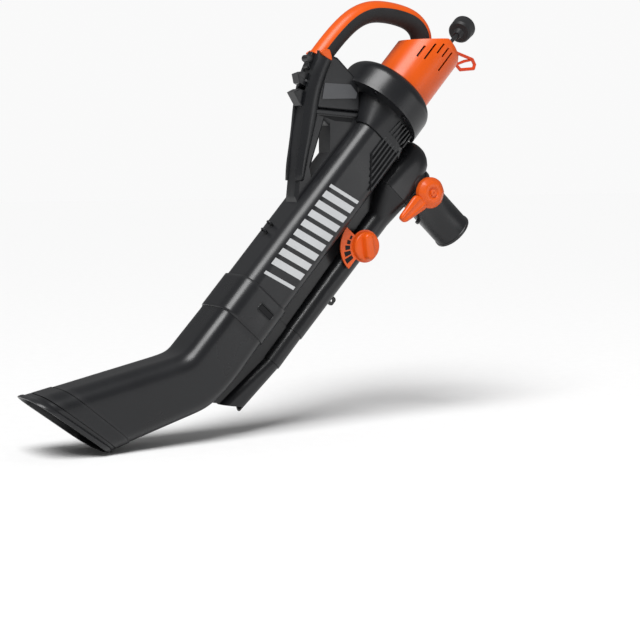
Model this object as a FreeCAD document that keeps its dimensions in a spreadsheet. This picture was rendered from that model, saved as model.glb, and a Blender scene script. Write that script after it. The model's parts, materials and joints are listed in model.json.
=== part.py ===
import FreeCAD, Part
import math
import os
import re

import Sketcher
from FreeCAD import Placement, Rotation, Vector

# Electric blower, mulcher and vacuum.
# Every sub-part is drawn in the tube's own frame: +Z runs up the vacuum tube towards the motor,
# -X is the side of the front handle, +X the side of the blower tube, -Y the side of the controls.
# The whole machine is then tipped to its working slope, with the origin in the middle of the grip.

SIZES = [
    ("slope", 42.0, "tilt of the tube away from upright, degrees"),
    ("grip_x", -157.0, "middle of the grip along X"),
    ("grip_z", 488.0, "middle of the grip along Z"),
    ("wall", 3.0, "wall of the moulded shells"),
    ("fit", 0.2, "gap between fixed shells"),
    ("tube_x", -2.0, "middle of the vacuum tube along X"),
    ("tube_half", 47.5, "half the side of the vacuum tube"),
    ("tube_round", 24.0, "corner radius of the vacuum tube"),
    ("tube_top", 352.0, "upper end of the vacuum tube"),
    ("tube_end", -55.0, "lower end of the vacuum tube inside the collar"),
    ("collar_top", 2.0, "upper rim of the collar"),
    ("collar_foot", -65.0, "lower rim of the collar"),
    ("bend_z", -150.0, "end of the straight lower tube"),
    ("mouth_half", 75.0, "half the length of the nozzle mouth"),
    ("mouth_x", -130.0, "middle of the mouth along X"),
    ("mouth_z", -366.0, "middle of the mouth along Z"),
    ("fan_x", -26.0, "middle of the fan housing along X"),
    ("fan_radius", 82.0, "outer radius of the fan housing"),
    ("fan_floor", 388.0, "joint of the two fan housing halves"),
    ("fan_top", 438.0, "upper face of the fan housing"),
    ("shaft_x", -16.0, "motor axis along X"),
    ("shaft_radius", 4.0, "motor shaft radius"),
    ("impeller_radius", 62.0, "impeller radius"),
    ("bearing_radius", 11.0, "outer radius of both bearings"),
    ("cover_x", -14.0, "middle of the motor cover along X"),
    ("cover_radius", 53.0, "outer radius of the motor cover"),
    ("cover_top", 562.0, "end face of the motor cover"),
    ("handle_radius", 18.0, "radius of the loop handle"),
    ("post_half", 18.0, "half the width of the front handle"),
    ("blow_x", 98.0, "blower tube axis along X"),
    ("blow_top", 22.0, "outer radius of the blower tube at its upper end"),
    ("blow_foot", 18.5, "outer radius of the blower tube at its lower end"),
    ("valve_z", 341.0, "spigot axis along Z"),
    ("valve_half", 34.0, "half the width of the valve body"),
    ("spigot_radius", 34.0, "outer radius of the bag spigot"),
    ("spigot_end", 238.0, "end of the bag spigot along X"),
    ("lever_x", 132.0, "selector lever axis along X"),
    ("lever_radius", 27.0, "radius of the selector lever hub"),
    ("knob_z", 190.0, "airflow knob axis along Z"),
    ("knob_radius", 25.0, "radius of the airflow knob"),
    ("cord_radius", 3.5, "radius of the power cord"),
]

doc = FreeCAD.newDocument("LeafBlower")
sheet = doc.addObject("Spreadsheet::Sheet", "Sizes")
for row, (alias, number, note) in enumerate(SIZES, start=1):
    sheet.set("A%d" % row, alias)
    sheet.set("B%d" % row, str(number))
    sheet.set("C%d" % row, note)
    sheet.setAlias("B%d" % row, alias)
doc.recompute()

nodes = {}


def size(alias):
    """A driving dimension, read from the sheet."""
    return float(sheet.get(alias))


def bound(text):
    """An expression on the sheet's names, as FreeCAD reads it."""
    return re.sub("[a-z_]{3,}", lambda hit: "Sizes." + hit.group(0), text)


def value(text):
    """The number that an expression gives."""
    answer = sheet.evalExpression(bound(text))
    return float(getattr(answer, "Value", answer))


TIP = Rotation(Vector(0, 1, 0), size("slope"))
GRIP = Vector(size("grip_x"), 0, size("grip_z"))
MACHINE = Placement(TIP.multVec(GRIP).negative(), TIP)

UPRIGHT = Rotation()
NEAR = Rotation(Vector(1, 0, 0), 90)
REAR = Rotation(Vector(0, 1, 0), 90)


def node(label, thing, place=None):
    """Names a finished sub-part and puts it in its place on the tipped machine."""
    thing.Label = label
    thing.Placement = MACHINE.multiply(place) if place else MACHINE
    nodes[label] = thing
    return thing


# ---------------------------------------------------------------- sketches and features


def new_body(name):
    return doc.addObject("PartDesign::Body", name)


def new_sketch(body, role, offset="0", tilt=0.0, shift=("0", "0")):
    """A sketch on one of the body's origin planes, lifted by offset and turned by tilt about Y."""
    plane = [item for item in body.Origin.OriginFeatures if item.Role == role][0]
    sketch = body.newObject("Sketcher::SketchObject", body.Name + "Sketch")
    sketch.AttachmentSupport = [(plane, "")]
    sketch.MapMode = "FlatFace"
    base = Vector(value(shift[0]), value(shift[1]), value(offset))
    sketch.AttachmentOffset = Placement(base, Rotation(Vector(0, 1, 0), tilt))
    for axis, text in zip("xyz", (shift[0], shift[1], offset)):
        if re.search("[a-z]", text):
            sketch.setExpression("AttachmentOffset.Base." + axis, bound(text))
    return sketch


def constrain(sketch, kind, *items):
    """Adds a constraint whose last item is an expression."""
    text = items[-1]
    index = sketch.addConstraint(Sketcher.Constraint(kind, *items[:-1], value(text)))
    if re.search("[a-z]", text):
        sketch.setExpression("Constraints[%d]" % index, bound(text))


def pin_point(sketch, geometry, end, across, along):
    """Holds one point of the sketch at two expressions from the origin."""
    for kind, axis, text in (("DistanceX", -2, across), ("DistanceY", -1, along)):
        if text == "0":
            sketch.addConstraint(Sketcher.Constraint("PointOnObject", geometry, end, axis))
        else:
            constrain(sketch, kind, -1, 1, geometry, end, text)


def outline(sketch, corners):
    """A closed outline of straight sides through the corners."""
    points = [Vector(value(across), value(along), 0) for across, along in corners]
    count = len(points)
    first = sketch.GeometryCount
    for index in range(count):
        sketch.addGeometry(Part.LineSegment(points[index], points[(index + 1) % count]), False)
    for index in range(count):
        following = first + (index + 1) % count
        sketch.addConstraint(Sketcher.Constraint("Coincident", first + index, 2, following, 1))
        pin_point(sketch, first + index, 1, *corners[index])
    return sketch


def round_outline(sketch, half_across, half_along, radius):
    """A rectangle with rounded corners about the sketch's origin."""
    wide, high, turn = value(half_across), value(half_along), value(radius)
    signs = ((1, 1), (-1, 1), (-1, -1), (1, -1))
    for quarter, (side, level) in enumerate(signs):
        centre = Vector(side * (wide - turn), level * (high - turn), 0)
        circle = Part.Circle(centre, Vector(0, 0, 1), turn)
        start = quarter * math.pi / 2
        sketch.addGeometry(Part.ArcOfCircle(circle, start, start + math.pi / 2), False)
    for quarter in range(4):
        start = sketch.Geometry[quarter].EndPoint
        finish = sketch.Geometry[(quarter + 1) % 4].StartPoint
        sketch.addGeometry(Part.LineSegment(start, finish), False)
    for quarter in range(4):
        sketch.addConstraint(Sketcher.Constraint("Tangent", quarter, 2, 4 + quarter, 1))
        sketch.addConstraint(Sketcher.Constraint("Tangent", 4 + quarter, 2, (quarter + 1) % 4, 1))
    for line, kind in ((4, "Horizontal"), (5, "Vertical"), (6, "Horizontal"), (7, "Vertical")):
        sketch.addConstraint(Sketcher.Constraint(kind, line))
    for quarter in (1, 2, 3):
        sketch.addConstraint(Sketcher.Constraint("Equal", 0, quarter))
    constrain(sketch, "Radius", 0, radius)
    constrain(sketch, "DistanceY", -1, 1, 4, 1, half_along)
    constrain(sketch, "DistanceX", -1, 1, 5, 1, "-(%s)" % half_across)
    constrain(sketch, "DistanceY", -1, 1, 6, 1, "-(%s)" % half_along)
    constrain(sketch, "DistanceX", -1, 1, 7, 1, half_across)
    return sketch


def circle_at(sketch, radius, across="0", along="0"):
    """A circle with its centre at two expressions from the origin."""
    centre = Vector(value(across), value(along), 0)
    index = sketch.addGeometry(Part.Circle(centre, Vector(0, 0, 1), value(radius)), False)
    constrain(sketch, "Radius", index, radius)
    pin_point(sketch, index, 3, across, along)
    return sketch


def extrude(body, kind, sketch, length, symmetric=False, reverse=False):
    """A Pad or a Pocket of the sketch."""
    feature = body.newObject("PartDesign::" + kind, body.Name + kind)
    feature.Profile = sketch
    feature.Length = value(length)
    if re.search("[a-z]", length):
        feature.setExpression("Length", bound(length))
    feature.SideType = "Symmetric" if symmetric else "One side"
    feature.Reversed = reverse
    sketch.Visibility = False
    return feature


def spin(body, kind, sketch):
    """A Revolution or a Groove of the sketch about its own upright axis."""
    feature = body.newObject("PartDesign::" + kind, body.Name + kind)
    feature.Profile = sketch
    feature.ReferenceAxis = (sketch, ["V_Axis"])
    feature.Angle = 360.0
    return feature


def loft(body, kind, sections, ruled=True):
    """An AdditiveLoft or a SubtractiveLoft through the sections."""
    feature = body.newObject("PartDesign::" + kind, body.Name + kind)
    feature.Profile = sections[0]
    feature.Sections = sections[1:]
    feature.Ruled = ruled
    return feature


def round_edges(body, radius, chosen, kind="Fillet"):
    """Fillets or chamfers the edges of the body's last feature that the test picks."""
    doc.recompute()
    last = body.Tip
    names = ["Edge%d" % (index + 1) for index, edge in enumerate(last.Shape.Edges) if chosen(edge)]
    if not names:
        raise RuntimeError("no edge to round on " + body.Name)
    feature = body.newObject("PartDesign::" + kind, body.Name + kind)
    feature.Base = (last, names)
    if kind == "Fillet":
        feature.Radius = radius
    else:
        feature.Size = radius
    return feature


def turned(name, corners, rounds=()):
    """A body turned about its own Z axis from a half section of (radius, height) corners.

    rounds lists (radius of the edge, its height, fillet radius).
    """
    body = new_body(name)
    spin(body, "Revolution", outline(new_sketch(body, "XZ_Plane"), corners))
    for edge_radius, height, fillet in rounds:
        round_edges(body, fillet, circle_test(edge_radius, height))
    return body


def circle_test(radius, height):
    """Picks a round edge by its radius and height."""

    def chosen(edge):
        curve = edge.Curve
        if not hasattr(curve, "Radius"):
            return False
        middle = edge.valueAt((edge.FirstParameter + edge.LastParameter) / 2)
        return abs(curve.Radius - value(radius)) < 0.02 and abs(middle.z - value(height)) < 0.02

    return chosen


def across_test(edge):
    """Picks straight edges that run along Y."""
    if edge.Curve.TypeId != "Part::GeomLine":
        return False
    return abs(edge.tangentAt(edge.FirstParameter).y) > 0.999


def side_test(half_width):
    """Picks the edges of the two flat sides of a plate that is drawn in the XZ plane."""

    def chosen(edge):
        box = edge.BoundBox
        return box.YLength < 0.01 and abs(abs(box.YMin) - half_width) < 0.02

    return chosen


def profile(name, corners, width, y_start=None):
    """A plate drawn in the XZ plane: centred on Y, or from y_start towards -Y."""
    body = new_body(name)
    if y_start is None:
        sketch = outline(new_sketch(body, "XZ_Plane"), corners)
        extrude(body, "Pad", sketch, width, symmetric=True)
    else:
        sketch = outline(new_sketch(body, "XZ_Plane", offset="-(%s)" % y_start), corners)
        extrude(body, "Pad", sketch, width)
    return body


# ---------------------------------------------------------------- primitives and booleans


def place_at(thing, at, turn=UPRIGHT):
    base = Vector(*[value(text) for text in at])
    thing.Placement = Placement(base, turn)
    for axis, text in zip("xyz", at):
        if re.search("[a-z]", text):
            thing.setExpression("Placement.Base." + axis, bound(text))


def cylinder(radius, height, at, turn=UPRIGHT):
    thing = doc.addObject("Part::Cylinder", "Cylinder")
    for slot, text in (("Radius", radius), ("Height", height)):
        setattr(thing, slot, value(text))
        if re.search("[a-z]", text):
            thing.setExpression(slot, bound(text))
    place_at(thing, at, turn)
    return thing


def cone(radius1, radius2, height, at, turn=UPRIGHT):
    thing = doc.addObject("Part::Cone", "Cone")
    for slot, text in (("Radius1", radius1), ("Radius2", radius2), ("Height", height)):
        setattr(thing, slot, value(text))
        if re.search("[a-z]", text):
            thing.setExpression(slot, bound(text))
    place_at(thing, at, turn)
    return thing


def block(length, width, height, at, turn=UPRIGHT):
    """A box whose lowest corner is at the given place."""
    thing = doc.addObject("Part::Box", "Block")
    for slot, text in (("Length", length), ("Width", width), ("Height", height)):
        setattr(thing, slot, value(text))
        if re.search("[a-z]", text):
            thing.setExpression(slot, bound(text))
    place_at(thing, at, turn)
    return thing


def joined(*things):
    whole = doc.addObject("Part::MultiFuse", "Joined")
    whole.Shapes = list(things)
    return whole


def cut(base, *tools):
    whole = doc.addObject("Part::Cut", "Cut")
    whole.Base = base
    whole.Tool = tools[0] if len(tools) == 1 else joined(*tools)
    return whole


def common(first, second):
    whole = doc.addObject("Part::Common", "Common")
    whole.Base = first
    whole.Tool = second
    return whole


def shaped(name, shape):
    """A shape that Part's own functions made."""
    thing = doc.addObject("Part::Feature", name)
    thing.Shape = shape
    return thing


def group(name, things):
    """Separate solids of one kind, kept together in one node."""
    doc.recompute()
    return shaped(name, Part.makeCompound([thing.Shape.copy() for thing in things]))


def screw(at, turn, length=14.0, head=3.6, shank=1.8):
    """A pan-head screw that points along -Z of the turned frame, its head on the given place."""
    body = Part.makeCylinder(shank, length, Vector(0, 0, -length))
    cap = Part.makeCylinder(head, 2.4)
    rim = [edge for edge in cap.Edges if edge.BoundBox.ZMin > 2.3 and hasattr(edge.Curve, "Radius")]
    cap = cap.makeFillet(0.9, rim)
    slots = [Part.makeBox(4.4, 0.9, 1.2, Vector(-2.2, -0.45, 1.4)) for _ in range(2)]
    slots[1].rotate(Vector(0, 0, 0), Vector(0, 0, 1), 90)
    whole = cap.fuse(body).cut(slots[0]).cut(slots[1])
    whole.Placement = Placement(Vector(*at), turn)
    return whole


# ---------------------------------------------------------------- vacuum tube


def section(body, half, radius, level, across="tube_x", half_y=None, tilt=0.0):
    """A rounded square section across the tube at a level."""
    sketch = new_sketch(body, "XY_Plane", offset=level, tilt=tilt, shift=(across, "0"))
    return round_outline(sketch, half, half_y or half, radius)


def upper_tube():
    """Straight tube from the fan inlet down into the collar."""
    body = new_body("UpperTube")
    outer = section(body, "tube_half", "tube_round", "tube_end")
    extrude(body, "Pad", outer, "tube_top - tube_end")
    inner = section(body, "tube_half - wall", "tube_round - wall", "tube_end - 1")
    extrude(body, "Pocket", inner, "tube_top - tube_end + 2", reverse=True)
    latch_way = block("32", "10", "13", ("-7", "-(tube_half + 2)", "-30"))
    return node("upper_tube", cut(body, latch_way))


def tube_hooks():
    """Two small strap hooks on the edge of the tube that faces the front handle."""
    hooks = []
    for level in (92.0, 108.0):
        ring = Part.makeTorus(5.0, 1.6, Vector(0, 0, 0), Vector(0, 0, 1))
        foot = Part.makeBox(8.0, 7.0, 3.2, Vector(1.0, -3.5, -1.6))
        hook = ring.fuse(foot)
        hook.Placement = Placement(Vector(-55.5, 4.0, level), UPRIGHT)
        hooks.append(hook)
    tube = Part.makeBox(80, 80, 60, Vector(size("tube_x") - size("tube_half"), -40, 70))
    return node("tube_hooks", shaped("TubeHooks", Part.makeCompound([hook.cut(tube) for hook in hooks])))


def lower_tube():
    """Collar, straight lower tube and bent nozzle with its flared lip."""
    body = new_body("LowerTube")
    slant = math.degrees(math.atan2(0.087, 0.996))
    levels = [
        ("tube_half + 1", "tube_half + 1", "tube_round + 1", "collar_foot + 1", "tube_x", 0.0),
        ("tube_half + 2", "tube_half + 2", "tube_round", "bend_z", "tube_x", 0.0),
        ("tube_half + 2.5", "tube_half + 2", "tube_round", "-181", "-5", 20.0),
        ("mouth_half", "tube_half + 4", "tube_round", "mouth_z", "mouth_x", -slant),
    ]
    for kind, thin in (("AdditiveLoft", ""), ("SubtractiveLoft", " - wall")):
        for first in range(3):
            pair = [
                section(body, half + thin, turn + thin, level, across, half_y + thin, tilt)
                for half, half_y, turn, level, across, tilt in levels[first:first + 2]
            ]
            loft(body, kind, pair)
    collar = section(body, "tube_half + 3.4", "tube_round + 3.4", "collar_foot")
    extrude(body, "Pad", collar, "collar_top - collar_foot")
    socket = section(body, "tube_half + fit", "tube_round + fit", "collar_top + 1")
    extrude(body, "Pocket", socket, "collar_top - tube_end + 1")
    bore = section(body, "tube_half - wall", "tube_round - wall", "collar_top")
    extrude(body, "Pocket", bore, "collar_top - collar_foot + 2")
    window = new_sketch(body, "XZ_Plane", offset="tube_half - 1")
    outline(window, [("-6", "-29"), ("24", "-29"), ("24", "-18"), ("-6", "-18")])
    extrude(body, "Pocket", window, "6", reverse=True)
    return node("lower_tube", joined(body, mouth_rim()))


def mouth_rim():
    """Thick lip around the nozzle mouth."""
    slant = -math.degrees(math.atan2(0.087, 0.996))
    body = new_body("MouthRim")
    rim = new_sketch(body, "XY_Plane", offset="mouth_z - 1", tilt=slant, shift=("mouth_x", "0"))
    round_outline(rim, "mouth_half + 3", "tube_half + 7", "tube_round + 3")
    extrude(body, "Pad", rim, "7")
    hollow = new_sketch(body, "XY_Plane", offset="mouth_z - 2", tilt=slant, shift=("mouth_x", "0"))
    round_outline(hollow, "mouth_half + 0.1", "tube_half + 4.1", "tube_round + 0.1")
    extrude(body, "Pocket", hollow, "12", reverse=True)
    return body


# ---------------------------------------------------------------- fan housing and motor cover

SHAFT = Placement(Vector(size("shaft_x"), 0, 0), UPRIGHT)


def inlet_cone(name, extra):
    """Outer shape of the neck that widens from the square tube to the round fan inlet."""
    body = new_body(name)
    foot = section(body, "tube_half + 3.4 + %s" % extra, "tube_round + 3", "338")
    rim = section(body, "60 + %s" % extra, "57", "fan_floor - 6", "shaft_x")
    loft(body, "AdditiveLoft", [foot, rim])
    return body


def outlet_port():
    """Opening at the rear of the fan housing, into the valve body."""
    return block("30", "56", "11", ("38", "-28", "fan_floor - 7"))


def fan_housing_lower():
    """Flat inlet side of the fan housing, with the neck that takes the tube."""
    body = inlet_cone("FanHousingLower", "0")
    floor = circle_at(new_sketch(body, "XY_Plane", offset="fan_floor - 6"), "fan_radius", "fan_x")
    extrude(body, "Pad", floor, "6")
    socket = section(body, "tube_half + fit", "tube_round + fit", "tube_top")
    extrude(body, "Pocket", socket, "20")
    mouth = section(body, "tube_half - wall", "tube_round - wall", "tube_top - 1")
    throat = section(body, "42", "41", "fan_floor + 1", "shaft_x")
    loft(body, "SubtractiveLoft", [mouth, throat])
    return node("fan_housing_lower", cut(body, outlet_port()))


def fan_housing_upper():
    """Domed half of the fan housing, with the plate that carries the lower bearing."""
    outer = "fan_radius"
    inner = "fan_radius - wall"
    corners = [
        (inner, "fan_floor"), (outer, "fan_floor"), (outer, "fan_top"), ("0", "fan_top"),
        ("0", "fan_top - wall"), (inner, "fan_top - wall"), (inner, "418"), ("0", "418"),
        ("0", "415"), (inner, "415"),
    ]
    rounds = [(inner, "fan_top - wall", 16.0), (outer, "fan_top", 22.0)]
    shell = turned("FanHousingUpper", corners, rounds)
    place_at(shell, ("fan_x", "0", "0"))
    boss = cylinder("15", "9", ("shaft_x", "0", "417"))
    seat = cylinder("bearing_radius", "12", ("shaft_x", "0", "412"))
    top_hole = cylinder("6", "20", ("shaft_x", "0", "412"))
    opening = cylinder("cover_radius - 3", "10", ("cover_x", "0", "fan_top - 5"))
    return node("fan_housing_upper", cut(joined(shell, boss), seat, top_hole, opening, outlet_port()))


def cover_solid(radius, lowest, top, inset):
    """A round block with its upper edge cut off at a slant on the handle side."""
    turn = Rotation(Vector(0, 1, 0), -44.0)
    start = turn.multVec(Vector(-30, 0, -inset))
    at = (str(-66 + start.x), "-70", str(515 + start.z))
    slant = block("150", "140", "70", at, turn)
    corners = [("0", lowest), (radius, lowest), (radius, top), ("0", top)]
    body = turned("CoverSolid", corners, [(radius, top, 16.0)])
    place_at(body, ("cover_x", "0", "0"))
    return cut(body, slant)


def motor_cover():
    """Cap over the motor, with cooling slots on both sides and the cord entry in its end."""
    outer = cover_solid("cover_radius", "fan_top", "cover_top", 0.0)
    hollow = cover_solid("cover_radius - 2.5", "fan_top - 1", "cover_top - 2.5", 2.5)
    slots = []
    rows = ((-48, 492, 517), (-37, 496, 532), (-26, 520, 542), (-15, 522, 543), (-4, 500, 543))
    for across, low, high in rows:
        slots.append(block("3.4", "120", str(high - low), (str(across), "-60", str(low))))
    entry = cylinder("7.2", "12", ("9", "0", "cover_top - 6"))
    return node("motor_cover", cut(outer, hollow, entry, *slots))


def louvre_panel():
    """Two rows of air ribs beside the fan inlet, on the side of the controls."""
    plates = []
    half = size("tube_half")
    for step in range(5):
        across = -6.0 + 7.0 * step
        low = 300.0 - 1.0 * (across + 6.0)
        plates.append(Part.makeBox(3.0, 3.0, 336.0 - low, Vector(across, -half - 3.0, low)))
    backing = Part.makeBox(34.0, 1.0, 76.0, Vector(-7.5, -half - 1.0, 260.0))
    whole = backing.fuse(plates)
    return node("louvre_panel", shaped("LouvrePanel", whole.removeSplitter()))


# ---------------------------------------------------------------- motor and fan


def rotor_part(label, name, corners, rounds=()):
    return node(label, turned(name, corners, rounds), SHAFT)


def motor_shaft():
    return rotor_part("motor_shaft", "MotorShaft", [
        ("0", "384"), ("shaft_radius", "384"), ("shaft_radius", "548"), ("0", "548"),
    ])


def armature():
    """Laminated core with twelve slots."""
    body = turned("Armature", [
        ("shaft_radius", "466"), ("27", "466"), ("27", "508"), ("shaft_radius", "508"),
    ])
    place_at(body, ("shaft_x", "0", "0"))
    slots = []
    for index in range(12):
        angle = index * 30.0
        turn = Rotation(Vector(0, 0, 1), angle)
        offset = turn.multVec(Vector(18, -1.5, 0))
        slots.append(block("12", "3", "50", (str(size("shaft_x") + offset.x), str(offset.y), "462"), turn))
    return node("armature", cut(body, *slots))


def commutator():
    return rotor_part("commutator", "Commutator", [
        ("shaft_radius", "516"), ("13", "516"), ("13", "532"), ("shaft_radius", "532"),
    ])


def cooling_fan():
    """Small fan that draws air over the windings."""
    hub = joined(cylinder("9", "12", ("shaft_x", "0", "440")), cylinder("36", "1.6", ("shaft_x", "0", "440")))
    blades = []
    for index in range(10):
        turn = Rotation(Vector(0, 0, 1), index * 36.0)
        at = turn.multVec(Vector(8, -0.8, 0))
        blades.append(block("28", "1.6", "9", (str(size("shaft_x") + at.x), str(at.y), "441"), turn))
    bore = cylinder("shaft_radius", "30", ("shaft_x", "0", "430"))
    return node("cooling_fan", cut(joined(hub, *blades), bore))


def impeller():
    """Mulching impeller: a disc with eight straight blades on the inlet side."""
    disc = joined(cylinder("impeller_radius", "3", ("shaft_x", "0", "409")),
                  cylinder("14", "19", ("shaft_x", "0", "394")))
    blades = []
    for index in range(8):
        turn = Rotation(Vector(0, 0, 1), index * 45.0)
        at = turn.multVec(Vector(12, -1.2, 0))
        length = "impeller_radius - 13"
        blades.append(block(length, "2.4", "17", (str(size("shaft_x") + at.x), str(at.y), "393"), turn))
    bore = cylinder("shaft_radius", "40", ("shaft_x", "0", "388"))
    return node("impeller", cut(joined(disc, *blades), bore))


def impeller_nut():
    body = new_body("ImpellerNut")
    sketch = new_sketch(body, "XY_Plane", offset="386")
    corners = []
    for index in range(6):
        angle = math.radians(60 * index + 30)
        corners.append(("%.3f" % (7.5 * math.cos(angle)), "%.3f" % (7.5 * math.sin(angle))))
    outline(sketch, [(x, y if abs(float(y)) > 0.01 else "0") for x, y in corners])
    circle_at(sketch, "shaft_radius")
    extrude(body, "Pad", sketch, "7")
    return node("impeller_nut", body, SHAFT)


def bearing(label, low):
    """Ball bearing, drawn as one ring with the groove between its races."""
    radius, middle = "bearing_radius", "7.5"
    low, high = str(low), str(low + 7)
    inner = "shaft_radius + 0.03"
    corners = [(inner, low), (radius, low), (radius, high), (inner, high)]
    body = turned("Bearing", corners)
    groove = outline(new_sketch(body, "XZ_Plane"), [
        (middle, high + " - 1"), (middle + " + 1.2", high + " - 1"),
        (middle + " + 1.2", high + " + 1"), (middle, high + " + 1"),
    ])
    spin(body, "Groove", groove)
    return node(label, body, SHAFT)


def motor_frame():
    """Cup that holds the stator, the upper bearing and the brush holders."""
    corners = [
        ("44.2", "418"), ("46.5", "418"), ("46.5", "541"), ("bearing_radius", "541"),
        ("bearing_radius", "534"), ("17", "534"), ("17", "538"), ("44.2", "538"),
    ]
    body = turned("MotorFrame", corners)
    place_at(body, ("shaft_x", "0", "0"))
    windows = []
    for index in range(3):
        turn = Rotation(Vector(0, 0, 1), 60.0 * index)
        for level, height in (("426", "26"), ("516", "14")):
            at = turn.multVec(Vector(-60, -11, 0))
            windows.append(block("120", "22", height, (str(size("shaft_x") + at.x), str(at.y), level), turn))
    inside = cover_solid("cover_radius - 2.8", "fan_top - 30", "cover_top - 2.8", 2.8)
    return node("motor_frame", common(cut(body, *windows), inside))


def stator_core():
    body = new_body("StatorCore")
    sketch = circle_at(new_sketch(body, "XY_Plane", offset="464"), "44.2")
    circle_at(sketch, "27.6")
    extrude(body, "Pad", sketch, "46")
    pockets = new_sketch(body, "XY_Plane", offset="463")
    for side in (-1, 1):
        near, far = sorted((side * 30.0, side * 39.0))
        outline(pockets, [(str(near), "-15"), (str(far), "-15"), (str(far), "15"), (str(near), "15")])
    extrude(body, "Pocket", pockets, "50", reverse=True)
    return node("stator_core", body, SHAFT)


def stator_coils():
    """Two field coils through the core's pockets."""
    coils = []
    for side in (-1, 1):
        coil = Part.makeBox(8.4, 29.0, 56.0, Vector(-4.2, -14.5, 459.0))
        coil = coil.makeFillet(3.0, [edge for edge in coil.Edges if edge.BoundBox.ZLength > 50])
        coil.translate(Vector(size("shaft_x") + side * 34.5, 0, 0))
        coils.append(coil)
    return node("stator_coils", shaped("StatorCoils", Part.makeCompound(coils)))


def brush_gear():
    """Two brush holders on the frame, and the carbon brush in each."""
    holders, brushes = [], []
    for side in (-1, 1):
        tube = Part.makeBox(26.0, 10.0, 12.0, Vector(16.5, -5.0, 518.0))
        hole = Part.makeBox(30.0, 6.4, 8.4, Vector(15.0, -3.2, 519.8))
        carbon = Part.makeBox(19.8, 6.0, 8.0, Vector(13.4, -3.0, 520.0))
        holder = tube.cut(hole)
        for shape, row in ((holder, holders), (carbon, brushes)):
            if side < 0:
                shape.rotate(Vector(0, 0, 0), Vector(0, 0, 1), 180)
            shape.rotate(Vector(0, 0, 0), Vector(0, 0, 1), 90)
            shape.translate(Vector(size("shaft_x"), 0, 0))
            row.append(shape)
    node("brush_holders", shaped("BrushHolders", Part.makeCompound(holders)))
    node("carbon_brushes", shaped("CarbonBrushes", Part.makeCompound(brushes)))


# ---------------------------------------------------------------- handles

LOOP = [(-169, 370), (-169.5, 405), (-168, 438), (-163, 468), (-150, 497), (-126, 522),
        (-98, 541), (-72, 551), (-50, 549), (-34, 534)]


def loop_path(first, last):
    """The loop's middle line, between two shares of its length."""
    curve = Part.BSplineCurve()
    curve.interpolate([Vector(x, 0, z) for x, z in LOOP])
    start = curve.FirstParameter + first * (curve.LastParameter - curve.FirstParameter)
    finish = curve.FirstParameter + last * (curve.LastParameter - curve.FirstParameter)
    return curve, start, finish


def sweep(wire_at_start, first, last):
    """Carries a section along the loop, always square to it."""
    curve, start, finish = loop_path(first, last)
    spine = Part.Wire([curve.toShape(start, finish)])
    origin, along = curve.value(start), curve.tangent(start)[0]
    across = along.cross(Vector(0, 1, 0)).negative()
    turn = Rotation(across, Vector(0, 1, 0), along, "ZXY")
    wire = wire_at_start.copy()
    wire.Placement = Placement(origin, turn)
    pipe = Part.BRepOffsetAPI.MakePipeShell(spine)
    pipe.setBiNormalMode(Vector(0, 1, 0))
    pipe.add(wire)
    pipe.build()
    pipe.makeSolid()
    return pipe.shape()


def grip_section(outer, inner, lip):
    """C-shaped section on the inner side of the loop, which is its own +X side."""
    points = []
    for radius in (outer, inner):
        half = math.acos(-lip / radius)
        points.append([Vector(radius * math.cos(a), radius * math.sin(a), 0) for a in (-half, 0, half)])
    far, near = points
    edges = [
        Part.Arc(*far).toShape(), Part.LineSegment(far[2], near[2]).toShape(),
        Part.Arc(*near).toShape(), Part.LineSegment(near[0], far[0]).toShape(),
    ]
    return Part.Wire(Part.__sortEdges__(edges))


def loop_handle():
    """Loop handle from the bridge over to the motor cover, with the soft grip inside it."""
    radius = size("handle_radius")
    bar = sweep(Part.Wire(Part.makeCircle(radius)), 0.0, 1.0)
    core = sweep(Part.Wire(Part.makeCircle(radius - 7.5)), 0.0, 1.0)
    pad = sweep(grip_section(radius + 0.5, radius - 4.5, 5.0), 0.03, 0.985)
    bar_thing = shaped("LoopBar", bar.cut(pad).cut(core))
    bridge = bridge_outline("LoopSeat")
    cover = cover_solid("cover_radius", "fan_top", "cover_top", 0.0)
    node("loop_handle", cut(bar_thing, bridge, cover))
    grip_cover = cover_solid("cover_radius", "fan_top", "cover_top", 0.0)
    node("handle_grip", cut(shaped("GripPad", pad), bridge_outline("GripSeat"), grip_cover))


BRIDGE = [("-184", "375"), ("-150", "391"), ("-100", "391"), ("-72", "370"), ("-58", "354"), ("-142", "288"),
          ("-153", "308"), ("-168", "335")]


def bridge_outline(name):
    return profile(name, BRIDGE, "40")


def bridge_housing():
    """Housing in front of the fan that joins the loop handle and the front handle."""
    body = bridge_outline("BridgeHousing")
    round_edges(body, 5.0, side_test(20.0))
    fan = cylinder("fan_radius", "62", ("fan_x", "0", "fan_floor - 6"))
    recess = cylinder("15", "25", ("-167", "12.5", "323"), NEAR)
    hollow = profile("BridgeHollow", [
        ("-179", "374"), ("-150", "387"), ("-112", "387"), ("-112", "371"), ("-84", "352"), ("-88", "335"),
        ("-141", "293"), ("-150", "310"), ("-164", "337"),
    ], "40 - 2 * wall")
    return halves("bridge", cut(body, fan, inlet_cone("BridgeClear", "0"), recess, hollow))


def bridge_panels():
    """Raised panel on each side of the bridge."""
    corners = [("-142", "341"), ("-103", "374"), ("-84", "372"), ("-80", "364"), ("-128", "318")]
    plates = []
    for offset in ("22", "-20"):
        body = new_body("BridgePanel")
        sketch = outline(new_sketch(body, "XZ_Plane", offset=offset), corners)
        extrude(body, "Pad", sketch, "2", reverse=True)
        plates.append(body)
    return node("bridge_panels", group("BridgePanels", plates))


def halves(label, whole):
    """Splits a moulding on the middle plane into its two half shells."""
    near = block("300", "60", "400", ("-220", "-60", "140"))
    far = block("300", "60", "400", ("-220", "0", "140"))
    node(label + "_near", common(whole, near))
    node(label + "_far", common(whole, far))


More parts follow.
